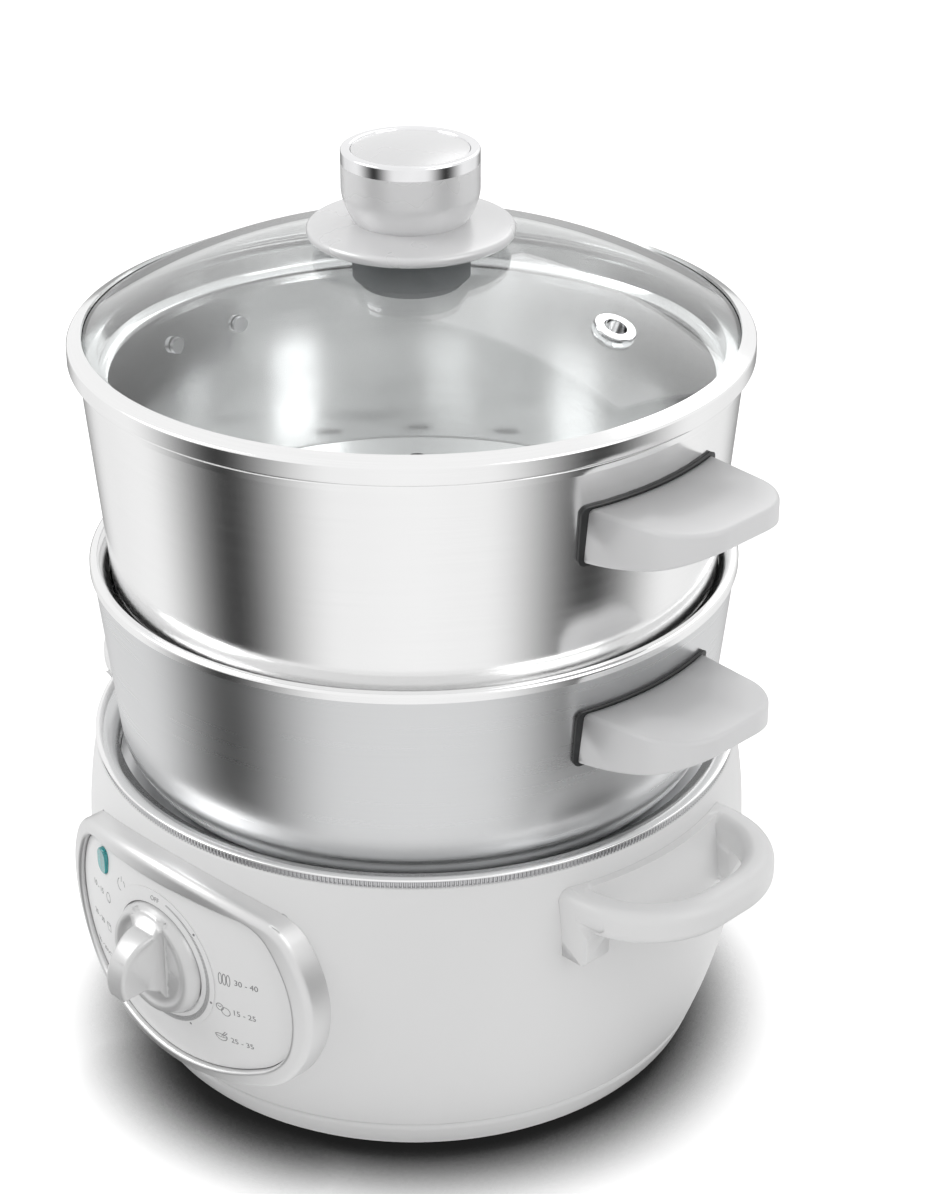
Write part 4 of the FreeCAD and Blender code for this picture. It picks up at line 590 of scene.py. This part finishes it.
# ---------------------------------------------------------------- studio
class STEAMER_OT_stage(bpy.types.Operator):
    """Makes the floor, the plain light and the camera"""
    bl_idname = "steamer.stage"
    bl_label = "Studio"

    def execute(self, context):
        make_floor()
        make_world(context.scene)
        make_lamps()
        make_camera(context.scene)
        return {"FINISHED"}


def painted_reflection_by_direction(tree):
    """Level of the painted reflection boards by direction round the object: white with soft dark
    stretches.
    """
    place = tree.nodes.new("ShaderNodeTexCoord")
    split = tree.nodes.new("ShaderNodeSeparateXYZ")
    tree.links.new(place.outputs["Object"], split.inputs["Vector"])
    forward = math_node(tree, "MULTIPLY", split.outputs["Y"], -1.0)
    angle = math_node(tree, "ARCTAN2", split.outputs["X"], forward)
    offset = math_node(tree, "SUBTRACT", angle, CAMERA_AZIMUTH)
    past_zero = math_node(tree, "ADD", offset, 4 * math.pi)
    share = math_node(tree, "MODULO", math_node(tree, "DIVIDE", past_zero, 2 * math.pi), 1.0)
    # painted reflection: white and dark stretches round the object, seen only in gloss
    ramp = tree.nodes.new("ShaderNodeValToRGB")
    tree.links.new(share, ramp.inputs["Fac"])
    ramp.color_ramp.interpolation = "EASE"
    mirrored = [(360 - angle, level) for angle, level in reversed(PAINTED_REFLECTION_LEVELS[:-1])]
    stops = [*PAINTED_REFLECTION_LEVELS, *mirrored]
    ramp_stops = ramp.color_ramp.elements
    while len(ramp_stops) < len(stops):
        ramp_stops.new(0.5)
    for stop, (angle, level) in zip(ramp_stops, stops):
        stop.position = angle / 360
        stop.color = (level, level, level, 1.0)
    return ramp.outputs["Color"]


def contact_shadow(tree):
    """White floor that darkens where something stands close over it."""
    near = tree.nodes.new("ShaderNodeAmbientOcclusion")
    near.samples = 16
    near.inputs["Distance"].default_value = SHADOW_REACH
    ramp = tree.nodes.new("ShaderNodeValToRGB")
    tree.links.new(near.outputs["AO"], ramp.inputs["Fac"])
    ramp.color_ramp.interpolation = "EASE"
    dark, light = ramp.color_ramp.elements
    dark.position, light.position = SHADOW_START, 1.0
    dark.color = (*[SHADOW_BLACK] * 3, 1.0)
    light.color = (*[FLOOR_WHITE] * 3, 1.0)
    return ramp.outputs["Color"]


def shown_rays(tree):
    """The rays that look straight at something or through glass, and those off a gloss."""
    rays = tree.nodes.new("ShaderNodeLightPath")
    straight = math_node(tree, "MAXIMUM", rays.outputs["Is Camera Ray"],
                         rays.outputs["Is Transmission Ray"])
    return straight, rays.outputs["Is Glossy Ray"]


def make_floor():
    """A wide floor: white to the eye, in a painted shadow near the foot, and painted reflection
    boards to what reflects it.
    """
    form = bmesh.new()
    bmesh.ops.create_circle(form, cap_ends=True, segments=64, radius=FLOOR_RADIUS)
    material, tree, shader = start_material("studio_floor")
    add_piece("studio_floor", form, material)
    shader.inputs["Roughness"].default_value = 0.9
    shader.inputs["Specular IOR Level"].default_value = 0.0
    shadow = contact_shadow(tree)
    tree.links.new(shadow, shader.inputs["Base Color"])
    straight, glossy = shown_rays(tree)
    lift = tree.nodes.new("ShaderNodeEmission")
    tree.links.new(shadow, lift.inputs["Color"])
    tree.links.new(math_node(tree, "MULTIPLY", straight, FLOOR_LIFT), lift.inputs["Strength"])
    lit = tree.nodes.new("ShaderNodeAddShader")
    tree.links.new(shader.outputs["BSDF"], lit.inputs[0])
    tree.links.new(lift.outputs["Emission"], lit.inputs[1])
    # painted reflection: to gloss alone the floor glows with the dark and white stretches
    painted_reflection = tree.nodes.new("ShaderNodeEmission")
    tree.links.new(painted_reflection_by_direction(tree), painted_reflection.inputs["Color"])
    seen = tree.nodes.new("ShaderNodeMixShader")
    tree.links.new(glossy, seen.inputs["Fac"])
    tree.links.new(lit.outputs["Shader"], seen.inputs[1])
    tree.links.new(painted_reflection.outputs["Emission"], seen.inputs[2])
    tree.links.new(seen.outputs["Shader"], tree.nodes["Material Output"].inputs["Surface"])


def make_world(scene):
    """A white world to the eye, to glass and to gloss, and a dimmer one that lights the rest."""
    world = bpy.data.worlds.new("studio")
    scene.world = world
    world.use_nodes = True
    tree = world.node_tree
    light = tree.nodes["Background"]
    shown = tree.nodes.new("ShaderNodeBackground")
    for sky, strength in ((light, SKY_LIGHT), (shown, 1.0)):
        sky.inputs["Color"].default_value = (1.0, 1.0, 1.0, 1.0)
        sky.inputs["Strength"].default_value = strength
    mix = tree.nodes.new("ShaderNodeMixShader")
    tree.links.new(math_node(tree, "MAXIMUM", *shown_rays(tree)), mix.inputs["Fac"])
    tree.links.new(light.outputs["Background"], mix.inputs[1])
    tree.links.new(shown.outputs["Background"], mix.inputs[2])
    tree.links.new(mix.outputs["Shader"], tree.nodes["World Output"].inputs["Surface"])


def make_lamps():
    for name, place, side, power in SOFTBOXES:
        light = bpy.data.lights.new(name, "AREA")
        light.shape = "SQUARE"
        light.size = side
        light.energy = power
        lamp = bpy.data.objects.new(name, light)
        bpy.context.scene.collection.objects.link(lamp)
        lamp.location = place
        aim = SOFTBOX_TARGET - Vector(place)
        lamp.rotation_euler = aim.to_track_quat("-Z", "Y").to_euler()


def make_camera(scene):
    camera = bpy.data.cameras.new("camera")
    camera.sensor_width = SENSOR
    camera.lens = FOCAL_PIXELS / FRAME_LONG_SIDE * SENSOR
    camera.clip_start = CLIP_START
    camera.clip_end = CLIP_END
    view = bpy.data.objects.new("camera", camera)
    scene.collection.objects.link(view)
    sine, cosine = math.sin(CAMERA_AZIMUTH), math.cos(CAMERA_AZIMUTH)
    view.location = (CAMERA_BACK * sine + CAMERA_ASIDE * cosine,
                     -CAMERA_BACK * cosine + CAMERA_ASIDE * sine,
                     CAMERA_HEIGHT)
    view.rotation_euler = (math.pi / 2 - CAMERA_PITCH, 0.0, CAMERA_AZIMUTH)
    scene.camera = view
    scene.view_settings.view_transform = "Standard"


# ---------------------------------------------------------------- base
def cover_outside():
    """A closed form that follows the bottom cover's outside and reaches well above its edge."""
    lean_out = belly_radius(HOUSING_BOTTOM) - COVER_REACH
    lean_up = COVER_TOP - COVER_FLOOR
    bend = math.atan2(lean_up, lean_out)
    centre = (COVER_REACH - COVER_ROUND * math.tan(bend / 2), COVER_FLOOR + COVER_ROUND)
    section = arc(centre, COVER_ROUND + COVER_CLEARANCE, -90.0, math.degrees(bend) - 90.0)
    end_out, end_up = section[-1]
    section.append((end_out + 3 * lean_out, end_up + 3 * lean_up))
    form = outline(section, closed=False)
    turn(form, TURNED_STEPS)
    bmesh.ops.holes_fill(form, edges=[edge for edge in form.edges if edge.is_boundary])
    bmesh.ops.recalc_face_normals(form, faces=form.faces)
    return form


class STEAMER_OT_base_shell(bpy.types.Operator):
    """Finishes the housing, its cover, the loop handles and the foot ring"""
    bl_idname = "steamer.base_shell"
    bl_label = "Base shell"

    def execute(self, context):
        colours = context.scene.steamer_colours
        white = moulded_plastic("shell_plastic", colours.shell_white, 0.36, coat=0.12)
        rubber = soft_rubber("black_rubber", colours.rubber_black, 0.6)
        for node in ("base_housing", "base_handle_left", "base_handle_right"):
            refined(node, white, "base", "white_plastic")
        cover = refined("bottom_cover", white, "base", "white_plastic")
        combined(cover, cover_outside(), "INTERSECT")
        give_finish(rubber, "foot_ring", "cord_gland")
        return {"FINISHED"}


class STEAMER_OT_ribbed_band(bpy.types.Operator):
    """Makes the knurled metal band between housing and bowl"""
    bl_idname = "steamer.ribbed_band"
    bl_label = "Ribbed band"

    def execute(self, context):
        sizes = context.scene.steamer_sizes
        low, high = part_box("ribbed_band")
        outer = high.x
        inner = outer - BAND_WALL
        around = POINTS_PER_RIB * sizes.rib_count
        form = bmesh.new()
        rings = []
        for radius, level in ((outer, low.z), (outer, high.z), (inner, high.z), (inner, low.z)):
            made = bmesh.ops.create_circle(form, segments=around, radius=radius)
            bmesh.ops.translate(form, verts=made["verts"], vec=(0, 0, level))
            rings.append(made["verts"])
        for ring in rings[:2]:
            for number, vertex in enumerate(ring):
                if number % POINTS_PER_RIB >= POINTS_PER_RIB / 2:
                    vertex.co.xy *= 1 - sizes.rib_depth / outer
        edges = [[e for e in form.edges if e.verts[0] in chosen and e.verts[1] in chosen]
                 for chosen in (set(ring) for ring in rings)]
        for ring, following in zip(edges, edges[1:] + edges[:1]):
            bmesh.ops.bridge_loops(form, edges=ring + following)
        bmesh.ops.recalc_face_normals(form, faces=form.faces)
        material = plain_metal("band_metal", BAND_STEEL, 0.24)
        add_piece("ribbed_band_knurl", form, material, "base", ("ribbed_band",))
        return {"FINISHED"}


# ---------------------------------------------------------------- panel
def upper_screw_line(side):
    """Direction of an upper panel screw, out from the vessel's axis; side is 1 or -1."""
    return Vector((side * math.sin(UPPER_SCREW_TURN), -math.cos(UPPER_SCREW_TURN), 0.0))


def along_and_off(point, line):
    """How far out along an upper screw's line a point lies, and how far off that line."""
    offset = point - Vector((0.0, 0.0, UPPER_SCREW_HEIGHT))
    along = offset.dot(line)
    return along, (offset - along * line).length


def on_hole(point, line):
    """Whether a point lies on the wall of the hole for an upper screw."""
    along, off = along_and_off(point, line)
    return along > 0 and abs(off - UPPER_SCREW_HOLE) < HOLE_SLACK


def on_bezel_back(point):
    """Whether a point lies on the back of the frame, close to the housing."""
    return abs(point.xy.length - belly_radius(point.z, SKIN_GAP)) < 2 * HOLE_SLACK


def close_upper_holes(bezel):
    """Closes the upper screw holes, which come out through the frame's rounded corners."""
    for side in (1, -1):
        line = upper_screw_line(side)
        hole = [face for face in bezel.faces
                if all(on_hole(vertex.co, line) for vertex in face.verts)]
        bmesh.ops.delete(bezel, geom=hole, context="FACES")
        rim = [edge for edge in bezel.edges if edge.is_boundary]
        on_back = {vertex for edge in rim for vertex in edge.verts if on_bezel_back(vertex.co)}
        back = [edge for edge in rim if on_back.issuperset(edge.verts)]
        front = [edge for edge in rim if not on_back.issuperset(edge.verts)]
        back_verts = {vertex for edge in back for vertex in edge.verts}
        ends = sorted(back_verts & {vertex for edge in front for vertex in edge.verts},
                      key=lambda vertex: vertex.co.x)
        sill = bezel.edges.new(ends)
        for edges, facing in ((back + [sill], -line), (front + [sill], line + Vector((0, 0, 1)))):
            bmesh.ops.triangle_fill(bezel, use_beauty=True, edges=edges, normal=facing)
    bmesh.ops.recalc_face_normals(bezel, faces=bezel.faces)


def shorten_upper_screws(screws):
    """Ends the two upper screws at the housing's wall, under the frame's rounded corners."""
    wall = belly_radius(UPPER_SCREW_HEIGHT)
    for side in (1, -1):
        line = upper_screw_line(side)
        for vertex in screws.verts:
            along, off = along_and_off(vertex.co, line)
            if off < UPPER_SCREW_HOLE and along > wall:
                vertex.co -= (along - wall + SKIN_GAP) * line


class STEAMER_OT_panel(bpy.types.Operator):
    """Finishes the bezel, plate, lens and timer knob"""
    bl_idname = "steamer.panel"
    bl_label = "Control panel"

    def execute(self, context):
        colours = context.scene.steamer_colours
        silver = moulded_plastic("bezel_paint", colours.bezel_silver, 0.34, coat=0.1, metal=0.7,
                                 grain=FINE_GRAIN)
        plate = moulded_plastic("plate_plastic", colours.panel_white, 0.42)
        knob = moulded_plastic("knob_plastic", colours.knob_white, 0.32, coat=0.1, metal=0.35,
                               grain=FINE_GRAIN)
        plain = plain_metal("panel_screw_steel", SCREW_STEEL, 0.32)
        bezel = merged("control_bezel")
        close_upper_holes(bezel)
        add_piece("control_bezel_skin", bezel, silver, "base",
                  ("control_bezel",), ROUND_EDGES)
        screws = merged("panel_screws")
        shorten_upper_screws(screws)
        add_piece("panel_screws_short", screws, plain, "base",
                  ("panel_screws",), ROUND_EDGES)
        refined("control_plate", plate, "base", "panel_white")
        refined("dial_ring", plate, "base", "panel_white")
        refined("timer_knob", knob, "timer_dial", "knob_white", KNOB_ROUND_EDGES)
        give_finish(lens_plastic("lens_plastic", colours.lens_teal), "indicator_lens")
        return {"FINISHED"}


# ---------------------------------------------------------------- print
class STEAMER_OT_print(bpy.types.Operator):
    """Prints the times, signs and scale on the plate"""
    bl_idname = "steamer.print"
    bl_label = "Panel print"

    def execute(self, context):
        sizes = context.scene.steamer_sizes
        colours = context.scene.steamer_colours
        words = bmesh.new()
        thickness = sizes.print_thickness
        size = sizes.print_height
        for sign, text, across, height in PANEL_SIGNS:
            for points, closed in sign():
                stroke = flat_line(points, sizes.print_line, thickness, closed)
                lay_on_panel(words, stroke, across, height)
            if text:
                outward = math.copysign(TIMES_ASIDE, across)
                lay_on_panel(words, flat_words(text, size, thickness), across + outward, height)
        lay_on_panel(words, flat_words("OFF", size * OFF_SIZE, thickness), 0.0,
                     DIAL_HEIGHT + DIAL_MARK_RADIUS, DIAL_RING_PROUD)
        for angle in DOT_ANGLES:
            spot = math.radians(angle)
            place = (DOT_RADIUS * math.sin(spot), DIAL_HEIGHT + DOT_RADIUS * math.cos(spot))
            dot = arc((0, 0), DOT_HALF_WIDTH, 0, 330, steps=11)
            lay_on_panel(words, flat_line(dot, DOT_LINE, thickness, True), *place, DIAL_RING_PROUD)
        add_piece("panel_words", words, ink("print_ink", colours.print_grey),
                  "base")
        add_piece("dial_scale", dial_scale(sizes), ink("scale_ink", colours.scale_grey),
                  "base")
        add_piece("knob_mark", knob_mark(), ink("mark_ink", colours.print_grey),
                  "timer_dial")
        return {"FINISHED"}


def oval(centre, radius, squeeze=1.0):
    """Points of a closed ring for a sign."""
    return arc(centre, radius, 0, 345, steps=23, squeeze=squeeze)


def pods_sign():
    """Three upright pods beside each other."""
    return [(oval((across, 0), 0.0007, 3.4), True) for across in (-0.0017, 0, 0.0017)]


def power_sign():
    """A broken ring with a short stroke at the top."""
    ring = arc((0, 0), 0.0025, 125, 415, steps=30)
    stroke = [(0, 0.0012), (0, 0.0034)]
    return [(ring, False), (stroke, False)]


def dumplings_sign():
    """Two round dumplings, one with a fold."""
    left = oval((-0.0012, 0.0007), 0.0015)
    right = oval((0.0012, -0.0008), 0.0018)
    fold = arc((-0.0012, 0.0016), 0.0008, 200, 340, steps=8)
    return [(left, True), (right, True), (fold, False)]


def bowl_sign():
    """A bowl with two sticks."""
    rim = oval((0, 0.0006), 0.0025, 0.3)
    side = arc((0, 0.0006), 0.0025, 180, 360, steps=16, squeeze=0.95)
    sticks = [[(0.0002, 0.0006), (0.0022, 0.0030)], [(0.0008, 0.0005), (0.0030, 0.0026)]]
    return [(rim, True), (side, False)] + [(stick, False) for stick in sticks]


def egg_sign():
    """An egg that is narrower at the top, with a short crease."""
    shell = []
    for angle in range(0, 360, 15):
        across, up = math.sin(math.radians(angle)), math.cos(math.radians(angle))
        shell.append((0.0015 * across * (1 - 0.12 * up), 0.0021 * up))
    return [(shell, True), (arc((0.0006, -0.0008), 0.0008, 200, 300, steps=8), False)]


def cup_sign():
    """A cup that narrows to its foot."""
    side = [(-0.0015, 0.0014), (-0.0011, -0.0018), (0.0011, -0.0018), (0.0015, 0.0014)]
    return [(side, False), (oval((0, 0.0014), 0.0015, 0.3), True)]


def fish_sign():
    """A fish of two arcs and a tail."""
    back = arc((0.0, -0.0016), 0.0027, 35, 145, steps=12)
    belly = arc((0.0, 0.0016), 0.0027, 215, 325, steps=12)
    tail = [(-0.0022, 0.0), (-0.0034, 0.0012), (-0.0034, -0.0012), (-0.0022, 0.0)]
    return [(back, False), (belly, False), (tail, False)]


# each sign, the minutes printed beside it, and its place across and up the plate
PANEL_SIGNS = (
    (pods_sign, "30 - 40", 0.0323, 0.0852),
    (dumplings_sign, "15 - 25", 0.0304, 0.0714),
    (bowl_sign, "25 - 35", 0.0275, 0.0574),
    (egg_sign, "10 - 15", -0.0318, 0.0905),
    (cup_sign, "20 - 30", -0.0338, 0.0762),
    (fish_sign, "15 - 20", -0.0370, 0.0608),
    (power_sign, "", -0.0213, 0.1017),
)


def dial_scale(sizes):
    """Fine ticks that start short beside OFF and grow clockwise round the dial."""
    form = bmesh.new()
    outer_radius = DIAL_MARK_RADIUS + sizes.scale_width / 2
    pitch = (TICKS_TO - TICKS_FROM) / TICKS
    width = outer_radius * pitch / 2
    for number in range(TICKS):
        grown = min(1.0, TICK_GROWTH * number / TICKS)
        reach = SHORTEST_TICK + (sizes.scale_width - SHORTEST_TICK) * grown
        clockwise = Matrix.Rotation(-TICKS_FROM - number * pitch, 3, "Z")
        tick = bmesh.ops.create_cube(form, size=1.0)["verts"]
        bmesh.ops.scale(form, verts=tick, vec=(width, reach, sizes.print_thickness))
        bmesh.ops.translate(form, verts=tick, vec=(0.0, outer_radius - reach / 2, 0.0))
        bmesh.ops.rotate(form, verts=tick, matrix=clockwise)
    flat = bpy.data.meshes.new("ticks")
    form.to_mesh(flat)
    form.clear()
    lay_on_panel(form, flat, 0.0, DIAL_HEIGHT, DIAL_RING_PROUD + sizes.print_thickness)
    return form


def knob_mark():
    """The small dark mark on the crest of the knob."""
    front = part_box("timer_knob")[0].y
    form = bmesh.new()
    bmesh.ops.create_uvsphere(form, u_segments=16, v_segments=8, radius=KNOB_MARK_SIZE)
    place = (0.0, front + KNOB_MARK_BACK, DIAL_HEIGHT + KNOB_MARK_UP)
    bmesh.ops.translate(form, verts=form.verts, vec=place)
    return form


# ---------------------------------------------------------------- steel and grips
class STEAMER_OT_steel(bpy.types.Operator):
    """Finishes the bowl, tray, baskets and lid edge"""
    bl_idname = "steamer.steel"
    bl_label = "Steelwork"

    def execute(self, context):
        colours = context.scene.steamer_colours
        bright = turned_steel("bright_steel", colours.bright_steel, 0.15, 0.18)
        satin = turned_steel("satin_steel", colours.satin_steel, 0.27, 0.29)
        rolled = turned_steel("rolled_steel", colours.bright_steel, 0.10, 0.16)
        for make, node, steel, body in (
                (refined, "lower_shell", satin, "lower_basket"),
                (refined, "lower_grid", satin, "lower_basket"),
                (refined, "upper_shell", bright, "upper_basket"),
                (refined, "upper_grid", bright, "upper_basket"),
                (turned, "lower_rim", rolled, "lower_basket"),
                (turned, "upper_rim", rolled, "upper_basket"),
                (turned, "lid_ring", rolled, "lid"),
                (turned, "water_bowl", rolled, "base"),
                (refined, "tray_shell", satin, "steam_tray"),
                (refined, "tray_grid", satin, "steam_tray")):
            make(node, steel, body, "basket_steel")
        return {"FINISHED"}


class STEAMER_OT_grips(bpy.types.Operator):
    """Finishes the basket grips and their gaskets"""
    bl_idname = "steamer.grips"
    bl_label = "Grips"

    def execute(self, context):
        colours = context.scene.steamer_colours
        grey = moulded_plastic("grip_plastic", colours.grip_grey, 0.38, coat=0.1)
        rubber = soft_rubber("gasket_rubber", colours.rubber_black, 0.5)
        for tier in ("lower", "upper"):
            for side in ("left", "right"):
                refined("%s_handle_%s" % (tier, side), grey, tier + "_basket", "grip_grey")
                give_finish(rubber, "%s_gasket_%s" % (tier, side))
        return {"FINISHED"}


# ---------------------------------------------------------------- lid
def glass_centre():
    """Height of the middle of the dome's bow, below the lid."""
    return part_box("lid_glass")[1].z - math.sqrt(GLASS_BOW ** 2 - GLASS_BORE ** 2)


def turned_glass():
    """The domed glass as one turned shell, fine enough to look through without facets."""
    centre = glass_centre()
    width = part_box("lid_glass")[1].x - GLASS_BORE
    radii = [GLASS_BORE + width * row / GLASS_ROWS for row in range(GLASS_ROWS + 1)]
    profile = [(radius, GLASS_BOW) for radius in radii]
    profile += [(radius, GLASS_BOW - GLASS_THICKNESS) for radius in reversed(radii)]
    form = outline([(radius, centre + math.sqrt(bow ** 2 - radius ** 2))
                    for radius, bow in profile], closed=True)
    turn(form, GLASS_STEPS)
    bmesh.ops.recalc_face_normals(form, faces=form.faces)
    return form


def cut_vent(piece):
    """Cuts the vent hole square through the dome, round the middle of its eyelet."""
    low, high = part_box("vent_grommet")
    middle = (low + high) / 2
    outward = (middle - Vector((0.0, 0.0, glass_centre()))).normalized()
    form = bmesh.new()
    bmesh.ops.create_cone(form, cap_ends=True, segments=96, depth=6 * GLASS_THICKNESS,
                          radius1=VENT_HOLE, radius2=VENT_HOLE)
    bmesh.ops.rotate(form, verts=form.verts, matrix=outward.to_track_quat("Z", "Y").to_matrix())
    bmesh.ops.translate(form, verts=form.verts, vec=middle)
    combined(piece, form, "DIFFERENCE")


class STEAMER_OT_lid(bpy.types.Operator):
    """Finishes the lid's glass, knob and fittings"""
    bl_idname = "steamer.lid"
    bl_label = "Lid"

    def execute(self, context):
        colours = context.scene.steamer_colours
        glass = clear_glass("lid_glass", GLASS_TINT, 0.0)
        grey = moulded_plastic("lid_knob_plastic", colours.grip_grey, 0.28, coat=0.3, metal=0.2,
                               grain=FINEST_GRAIN)
        dark = moulded_plastic("boss_plastic", colours.boss_grey, 0.5)
        chrome = plain_metal("knob_chrome", CHROME, 0.10, grain=FINEST_GRAIN)
        cut_vent(add_piece("lid_glass_turned", turned_glass(), glass, "lid",
                           ("lid_glass",)))
        turned("lid_knob", grey, "lid", "grip_grey")
        turned("knob_cap", grey, "lid", "grip_grey")
        turned("knob_ring", chrome, "lid", "bright_trim")
        turned("knob_boss", dark, "lid", "boss_grey")
        refined("vent_grommet", chrome, "lid", "bright_trim")
        give_finish(soft_rubber("washer_rubber", WASHER_RUBBER, 0.5), "knob_washer")
        return {"FINISHED"}


# ---------------------------------------------------------------- inside
class STEAMER_OT_inside(bpy.types.Operator):
    """Finishes the heater, timer works, wiring block and screws"""
    bl_idname = "steamer.inside"
    bl_label = "Inside"

    def execute(self, context):
        cast = plain_metal("cast_alloy", CAST_METAL, 0.45, grain=CAST_GRAIN)
        plain = plain_metal("plain_steel", SCREW_STEEL, 0.32)
        dark = moulded_plastic("dark_plastic", DARK_PLASTIC, 0.5)
        give_finish(cast, "heating_plate", "thermostat", "timer_body", "timer_bell")
        give_finish(plain, "heater_tube", "heater_clamp", "cover_screws", "base_handle_screws",
                    "lower_handle_screws", "upper_handle_screws", "knob_screw",
                    "timer_nut", "timer_shaft")
        give_finish(dark, "terminal_block", "thermal_fuse")
        give_finish(clear_glass("lamp_glass", LAMP_TINT, 0.05), "indicator_lamp")
        return {"FINISHED"}


# ---------------------------------------------------------------- add-on
OPERATORS = (
    STEAMER_OT_stage,
    STEAMER_OT_base_shell,
    STEAMER_OT_ribbed_band,
    STEAMER_OT_panel,
    STEAMER_OT_print,
    STEAMER_OT_steel,
    STEAMER_OT_grips,
    STEAMER_OT_lid,
    STEAMER_OT_inside,
)


class STEAMER_PT_panel(bpy.types.Panel):
    """Lists the steamer's pieces and settings"""
    bl_idname = "STEAMER_PT_panel"
    bl_label = "Food steamer"
    bl_space_type = "VIEW_3D"
    bl_region_type = "UI"
    bl_category = "Steamer"

    def draw(self, context):
        for operator in OPERATORS:
            self.layout.operator(operator.bl_idname)
        for settings in (context.scene.steamer_colours, context.scene.steamer_sizes):
            box = self.layout.box()
            for name in settings.bl_rna.properties.keys():
                if name not in ("rna_type", "name"):
                    box.prop(settings, name)


CLASSES = (SteamerColours, SteamerSizes, *OPERATORS, STEAMER_PT_panel)


def register():
    for made in CLASSES:
        bpy.utils.register_class(made)
    bpy.types.Scene.steamer_colours = PointerProperty(type=SteamerColours)
    bpy.types.Scene.steamer_sizes = PointerProperty(type=SteamerSizes)


def unregister():
    del bpy.types.Scene.steamer_colours
    del bpy.types.Scene.steamer_sizes
    for made in reversed(CLASSES):
        bpy.utils.unregister_class(made)


def main():
    register()
    for operator in OPERATORS:
        family, name = operator.bl_idname.split(".")
        getattr(getattr(bpy.ops, family), name)()


if __name__ == "__main__":
    main()
